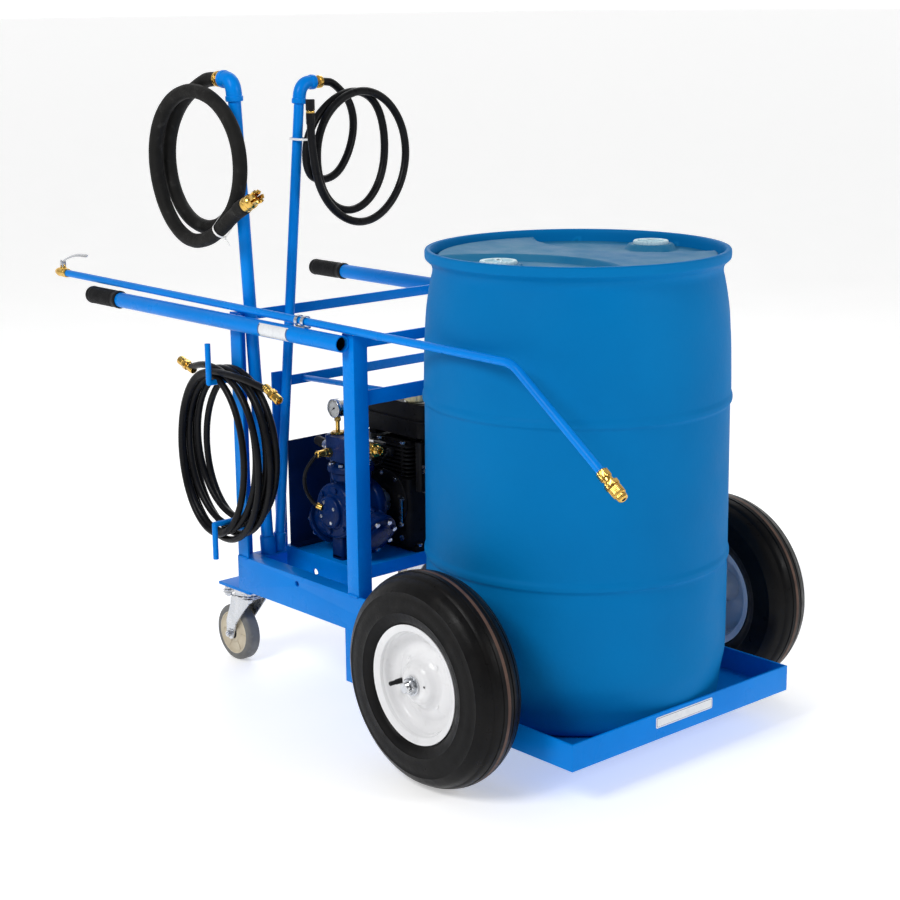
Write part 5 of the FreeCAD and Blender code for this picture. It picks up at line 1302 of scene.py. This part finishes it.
def make_tank():
    """The pressed tank with its seam, its filler neck and its cap."""
    made = Piece("fuel_tank_pressing")
    slab(made, at(-635, -50, 526), at(-430, 145, 561), ENGINE_BLACK, 22, 9)
    slab(made, at(-635, -50, 562), at(-430, 145, 598.6), ENGINE_BLACK, 22, 12)
    slab(made, at(-640, -55, 559.4), at(-425, 150, 563.6), ENGINE_BLACK, 24, 0.9)
    made.lathe(eased([(0.036, -0.0035), (0.0325, 0.0), (0.0300, 0.0013), (0.020, 0.0013)], 0.001), STEEL,
               at(-480, -14, 598.6), Z, 48)
    for x in (-620, -446):
        slab(made, at(x - 12, -30, 508), at(x + 12, 120, 527), ENGINE_BLACK, 3, 1)
    made.done("root", "engine_black", ("fuel_tank",))
    cap = Piece("fuel_cap_knurled")

    def lobed(angle):
        return 1 - 0.035 * (math.cos(angle * 12) > 0.2)

    cap.lathe(eased([(0, 0.0005), (0.0225, 0.0005), (0.0236, 0.002), (0.0236, 0.015), (0.0215, 0.0185),
                     (0.016, 0.0198), (0.010, 0.0190), (0, 0.0190)], 0.0012), PAINT_CREAM,
              at(-480, -25, 600.4), Z, 144, lobed)
    cap.prism([(-0.015, -0.0022), (0.015, -0.0022), (0.015, 0.0022), (-0.015, 0.0022)], 0.0182, 0.0198,
              PAINT_CREAM, 0.6, Matrix.Translation(at(-480, -25, 600.4)))
    cap.done("cap_body", "engine_black", ("fuel_cap",))


def make_muffler():
    """The silencer box inside its heat shield, with the outlet deflector; the shield's slots are dark strips of
    painted shade.
    """
    made = Piece("muffler_shield")
    slab(made, at(-686, -34, 443), at(-626, 62, 512), CAST_GREY, 10, 5)
    made.solid(at(-690, -38, 440), at(-687.6, 66, 515), ZINC, 0.9)
    # Six dark strips on the shield's face, painted shade standing for its slots.
    for i in range(6):
        z = 449 + i * 10.5
        made.solid(at(-690.8, -28, z), at(-689.6, 56, z + 4.6), BORE_SHADE, 0.4)
    for z in (440, 513):
        made.solid(at(-688, -38, z), at(-630, 66, z + 2), ZINC, 0.8)
    made.lathe(eased([(0.006, 0), (0.0085, 0), (0.0085, 0.016), (0.0065, 0.016), (0.0065, 0.004)], 0.0008),
               CAST_GREY, at(-656, 60, 470), Y, 32)
    made.tube(curve_through([at(-628, 12, 470), at(-616, 12, 470), at(-600, 12, 466)], 5), 0.012, CAST_GREY,
              20)
    made.done("root", "zinc", ("muffler",))


def make_air_cleaner():
    """The air cleaner: a lid with ribs and a knob over a base, and its neck to the engine."""
    made = Piece("air_cleaner_box")
    slab(made, at(-462, -45, 410), at(-444, 62, 515), PLASTIC_BLACK, 4, 3)
    slab(made, at(-443, -43, 412), at(-374, 60, 513), PLASTIC_BLACK, 14, 9)
    made.solid(at(-445, -45, 410.5), at(-441, 62, 514.5), PLASTIC_BLACK, 1.2)
    for i in range(5):
        y = -28 + 16 * i
        made.solid(at(-375, y, 424), at(-372.4, y + 5, 501), PLASTIC_BLACK, 1.0)
    made.lathe(eased([(0, 0), (0.012, 0), (0.0135, 0.002), (0.0135, 0.006), (0.010, 0.009), (0, 0.009)],
                     0.001), PLASTIC_BLACK, at(-408, 8, 512), Z, 32)
    for y in (-44.2, 61.2):
        made.solid(at(-440, y - 1.4, 452), at(-420, y + 1.4, 470), ZINC, 0.8)
    made.solid(at(-474, -20, 400), at(-460, 30, 430), CAST_GREY, 3)
    made.prism(rounded_outline(0, 0, 0.026, 0.016, 0.002), 0, 0.0003, LABEL_GREY, 0,
               Matrix.Translation(at(-420, -43.2, 482)) @ Matrix.Rotation(math.pi / 2, 4, "X"))
    made.prism(rounded_outline(0, 0, 0.014, 0.010, 0.002), 0, 0.0003, VINYL, 0,
               Matrix.Translation(at(-398, -43.2, 462)) @ Matrix.Rotation(math.pi / 2, 4, "X"))
    made.done("root", "engine_black", ("air_cleaner",))


def make_throttle():
    """The throttle lever with its ball, on the crankcase's right side."""
    made = Piece("throttle_control")
    made.prism(rounded_outline(-0.003, -0.004, 0.003, 0.058, 0.003), 0.0004, 0.0030, ZINC, 0.5,
               Matrix.Translation(at(-490, -60, 334)) @ Matrix.Rotation(math.pi / 2, 4, "X"))
    made.lathe(eased([(0, -0.005), (0.0035, -0.0042), (0.005, 0), (0.0042, 0.003), (0.0018, 0.0048),
                      (0, 0.005)], 0.001), PLASTIC_BLACK, at(-490, -64.5, 396), -Y, 24)
    made.hexagon(at(-490, -62.6, 334), -Y, 0.009, 0.0034, ZINC)
    made.lathe(eased([(0, 0), (0.005, 0), (0.005, 0.004), (0, 0.004)], 0.0006), ZINC, at(-490, -58.6, 334), -Y,
               20)
    made.done("throttle_body", "zinc", ("throttle_lever",))


# ---------------------------------------------------------------- pump

def make_pump():
    """The pump's castings: crankcase, snout, foot, three arms with bolted covers, and the shaft."""
    axis = at(-547, 0, 378)
    made = Piece("pump_castings")
    # The castings and covers take the darkened pump paint, which is painted shade.
    made.lathe(eased([(0.0125, -0.095), (0.045, -0.095), (0.058, -0.100), (0.060, -0.108), (0.060, -0.118),
                      (0.056, -0.122), (0.056, -0.180), (0.060, -0.184), (0.060, -0.195), (0.055, -0.200),
                      (0.038, -0.200), (0.034, -0.204), (0.034, -0.211), (0.029, -0.214), (0, -0.214)][::-1],
                     0.003), PUMP_PAINTED_SHADE, axis, Y, 80)
    ring_of_bolts(made, axis - Y * 0.199, -Y, 0.047, 6, 0.010, PUMP_PAINTED_SHADE, 0.3)
    ring_of_bolts(made, axis - Y * 0.2125, -Y, 0.0235, 4, 0.007, ZINC, 0.5)
    slab(made, at(-565, -192, 276), at(-529, -108, 360), PUMP_PAINTED_SHADE, 5, 3)
    slab(made, at(-565, -192, 272), at(-529, -108, 280), PUMP_PAINTED_SHADE, 5, 2)
    for y in (-182, -118):
        for x in (-559, -535):
            made.bolt(at(x, y, 280), Z, 0.009, ZINC, washer=False)
    covers = Piece("pump_head_covers")
    for angle in (90, 210, 330):
        turn = math.radians(angle)
        out = Vector((math.cos(turn), 0, math.sin(turn)))
        root = at(-547, -150, 378)
        made.lathe(eased([(0, 0), (0.038, 0.010), (0.037, 0.050), (0.0385, 0.060), (0.0435, 0.066),
                          (0.044, 0.0815), (0, 0.0815)], 0.003), PUMP_PAINTED_SHADE, root, out, 64)
        for k in range(8):
            side = facing(out, root) @ Vector((0.0395 * math.cos(k * math.pi / 4),
                                               0.0395 * math.sin(k * math.pi / 4), 0.052))
            made.tube([side, side + out * 0.012], 0.0045, PUMP_PAINTED_SHADE, 12)
        covers.lathe(eased([(0, 0.0822), (0.050, 0.0822), (0.050, 0.092), (0.0475, 0.0955), (0.034, 0.0965),
                            (0.031, 0.102), (0.022, 0.1038), (0, 0.1038)], 0.002), PUMP_PAINTED_SHADE, root, out, 72)
        ring_of_bolts(covers, root + out * 0.0955, out, 0.0415, 8, 0.010, ZINC, math.pi / 8)
    made.done("root", "pump_paint", ("pump_body",))
    covers.done("root", "pump_paint", ("pump_covers",))
    shaft = Piece("drive_shaft_coupling")
    shaft.lathe(eased([(0, -0.114), (0.0095, -0.114), (0.0109, -0.1125), (0.0109, -0.041), (0.0095, -0.040),
                       (0, -0.040)][::-1], 0.0008), STEEL, axis, Y, 32)

    def jawed(angle):
        return 1 - 0.10 * (math.cos(angle * 6) > 0.55)

    shaft.lathe(eased([(0.0105, -0.091), (0.0245, -0.091), (0.026, -0.089), (0.026, -0.080), (0.0235, -0.0785),
                       (0.0235, -0.0745), (0.026, -0.073), (0.026, -0.064), (0.0245, -0.062),
                       (0.0105, -0.062)][::-1], 0.0008), CAST_GREY, axis, Y, 144, jawed)
    shaft.done("shaft_body", "zinc", ("drive_shaft",))


def make_manifold():
    """The outlet block with its brass valve, quick coupler and hose fitting."""
    made = Piece("pump_outlet_block")
    # The outlet block takes the same darkened pump paint, which is painted shade.
    slab(made, at(-590, -186, 482), at(-500, -134, 534), PUMP_PAINTED_SHADE, 8, 3)
    for x in (-575, -520):
        made.hexagon(at(x, -160, 532), Z, 0.026, 0.008, BRASS)
    for x in (-582, -508):
        made.bolt(at(x, -178, 533.5), Z, 0.008, ZINC, washer=False)
    made.lathe(eased([(0, 0), (0.0118, 0.001), (0.0118, 0.010), (0.0102, 0.013), (0.0102, 0.022),
                      (0.012, 0.025), (0.012, 0.0375), (0.0102, 0.040), (0.0102, 0.054), (0.0088, 0.058),
                      (0.0088, 0.064), (0.006, 0.064), (0.006, 0.050)], 0.001), BRASS, at(-500, -160, 520), X,
               40)
    made.hexagon(at(-462, -160, 520), X, 0.0275, 0.0135, BRASS)
    made.hexagon(at(-498, -160, 520), X, 0.022, 0.009, BRASS)
    way = Vector((-1, 0, 0.16)).normalized()
    base = at(-588, -160, 500)
    made.hexagon(base, way, 0.021, 0.013, ZINC)
    made.lathe(eased([(0.006, 0.012), (0.0085, 0.013), (0.0085, 0.017), (0.0104, 0.019), (0.0104, 0.031),
                      (0.008, 0.033), (0.004, 0.034)], 0.0008), ZINC, base, way, 40)
    made.lathe(eased([(0.006, 0.033), (0.0098, 0.034), (0.0106, 0.037), (0.0106, 0.057), (0.0090, 0.0595),
                      (0, 0.060)], 0.0015), PLASTIC_BLACK, base, way, 40)
    made.hexagon(at(-570, -185, 500), -Y, 0.0185, 0.010, BRASS)
    made.tube(curve_through([at(-524, -178, 490), at(-515, -184, 478), at(-513, -182, 462),
                              at(-518, -172, 446)], 5), 0.0032, ZINC, 14)
    made.done("root", "brass", ("pump_manifold",))
    route = [Vector(p) for p in (at(-570, -196, 500), at(-572, -222, 496), at(-590, -236, 462),
                                 at(-598, -232, 424), at(-584, -222, 394), at(-563, -214, 385))]
    line = curve_through(route, 8)
    hose_piece = Piece("pump_hose_run")
    hose_piece.tube(line, 0.004, HOSE_SMOOTH, 20)
    hose_piece.lathe(eased([(0.004, 0), (0.0088, 0.0), (0.0088, 0.006), (0.0075, 0.008), (0.0075, 0.024),
                            (0.0062, 0.026), (0.0042, 0.026)], 0.0008), BRASS, line[0],
                     (line[3] - line[0]), 28)
    hose_piece.lathe(eased([(0.0042, 0), (0.0068, 0.001), (0.0068, 0.014), (0.004, 0.014)], 0.0008), BRASS,
                     line[-1], line[-4] - line[-1], 28)
    hose_piece.done("root", "hose_rubber", ("pump_hose",))


def make_gauge_knob_lever():
    """The pressure gauge, the regulator's knob and the outlet valve's lever."""
    made = Piece("pressure_gauge_dial")
    made.lathe(eased([(0, 0), (0.0045, 0), (0.0045, 0.036), (0, 0.036)], 0.0005), BRASS, at(-575, -160, 538), Z,
               20)
    made.hexagon(at(-575, -160, 562), Z, 0.012, 0.008, BRASS)
    centre = at(-575, -148, 590)
    made.lathe(eased([(0, 0), (0.0185, 0), (0.0195, 0.002), (0.0195, 0.016), (0.020, 0.017), (0.020, 0.0235),
                      (0.0178, 0.024), (0.0172, 0.0212)], 0.0008), STEEL, centre, -Y, 64)
    # The dial face takes the greyed colour, which is painted shade.
    made.lathe([(0.0172, 0.0208), (0, 0.0208)], DIAL_PAINTED_SHADE, centre, -Y, 48)
    for k in range(25):
        angle = math.radians(225 - 270 * k / 24)
        way = Vector((math.cos(angle), 0, math.sin(angle)))
        inner = 0.0125 if k % 4 == 0 else 0.0142
        made.tube([centre - Y * 0.0211 + way * inner, centre - Y * 0.0211 + way * 0.016],
                  0.00035 if k % 4 == 0 else 0.0002, PLASTIC_BLACK, 6)
    needle = Vector((math.cos(math.radians(215)), 0, math.sin(math.radians(215))))
    made.tube([centre - Y * 0.0216 - needle * 0.004, centre - Y * 0.0216 + needle * 0.0125], [0.0007, 0.0003],
              PLASTIC_BLACK, 6)
    made.lathe([(0.0018, 0.0208), (0.0018, 0.0224), (0, 0.0226)], PLASTIC_BLACK, centre, -Y, 16)
    made.done("root", "gauge", ("pressure_gauge",))

    def knurl(angle):
        return 1 - 0.05 * (math.cos(angle * 20) > 0)

    knob = Piece("regulator_knob_knurled")
    knob.lathe(eased([(0, 0.0004), (0.0048, 0.0004), (0.0048, 0.012), (0, 0.012)], 0.0004), ZINC,
               at(-520, -160, 540), Z, 20)
    knob.lathe(eased([(0, 0), (0.0145, 0), (0.0158, 0.002), (0.0158, 0.0165), (0.0140, 0.0192), (0.006, 0.0198),
                      (0.005, 0.0185), (0, 0.0185)], 0.001), PLASTIC_BLACK, at(-520, -160, 552), Z, 160,
               knurl)
    knob.done("regulator_body", "black_grip", ("regulator_knob",))
    lever = Piece("outlet_lever_bent")
    hub = at(-481, -160, 532.5)
    lever.lathe(eased([(0, 0), (0.0068, 0), (0.0068, 0.0076), (0.005, 0.008), (0, 0.008)], 0.0006), ZINC, hub,
                Z, 28)
    lever.hexagon(hub + Z * 0.0068, Z, 0.007, 0.0028, ZINC)
    lever.prism(rounded_outline(0, -0.0045, 0.058, 0.0045, 0.004), 0.0042, 0.0066, ZINC, 0.6,
                Matrix.Translation(hub))
    lever.prism(rounded_outline(0.026, -0.005, 0.060, 0.005, 0.0045), 0.0038, 0.0079, GRIP_BLACK, 1.2,
                Matrix.Translation(hub))
    lever.done("valve_lever_body", "zinc", ("outlet_valve_lever",))


# The pump's slot gets the darkened pump paint, which is painted shade.
SURFACES = {"frame_paint": ENAMEL, "zinc": ZINC, "axle_steel": ENAMEL, "black_grip": GRIP_BLACK,
            "caster_tread": TREAD_GREY, "tyre_rubber": TYRE_BLACK, "rim_paint": RIM_WHITE,
            "drum_plastic": DRUM_BLUE, "bung_plastic": BUNG_WHITE, "engine_black": ENGINE_BLACK,
            "pump_paint": PUMP_PAINTED_SHADE, "brass": BRASS, "gauge": ZINC, "hose_rubber": HOSE_SMOOTH,
            "nylon": NYLON}


def dress_nodes():
    """Gives every CAD node that stays its own finish."""
    for name, node in frame["nodes"].items():
        surface = SURFACES[SLOTS[name]]
        node.data.materials.clear()
        node.data.materials.append(surface)


make_camera()
make_stage()
dress_nodes()
make_frame()
make_hoses()
make_drum()
for wheel_side, wheel_sign in SIDES:
    make_tyre(wheel_side, wheel_sign)
    make_rim(wheel_side, wheel_sign)
    make_caster(wheel_side, wheel_sign)
make_axle_nuts()
make_caster_plates()
make_risers()
make_handles()
make_lance()
make_lance_clip()
make_labels()
make_welds()
make_engine_block()
make_starter()
make_tank()
make_muffler()
make_air_cleaner()
make_throttle()
make_pump()
make_manifold()
make_gauge_knob_lever()
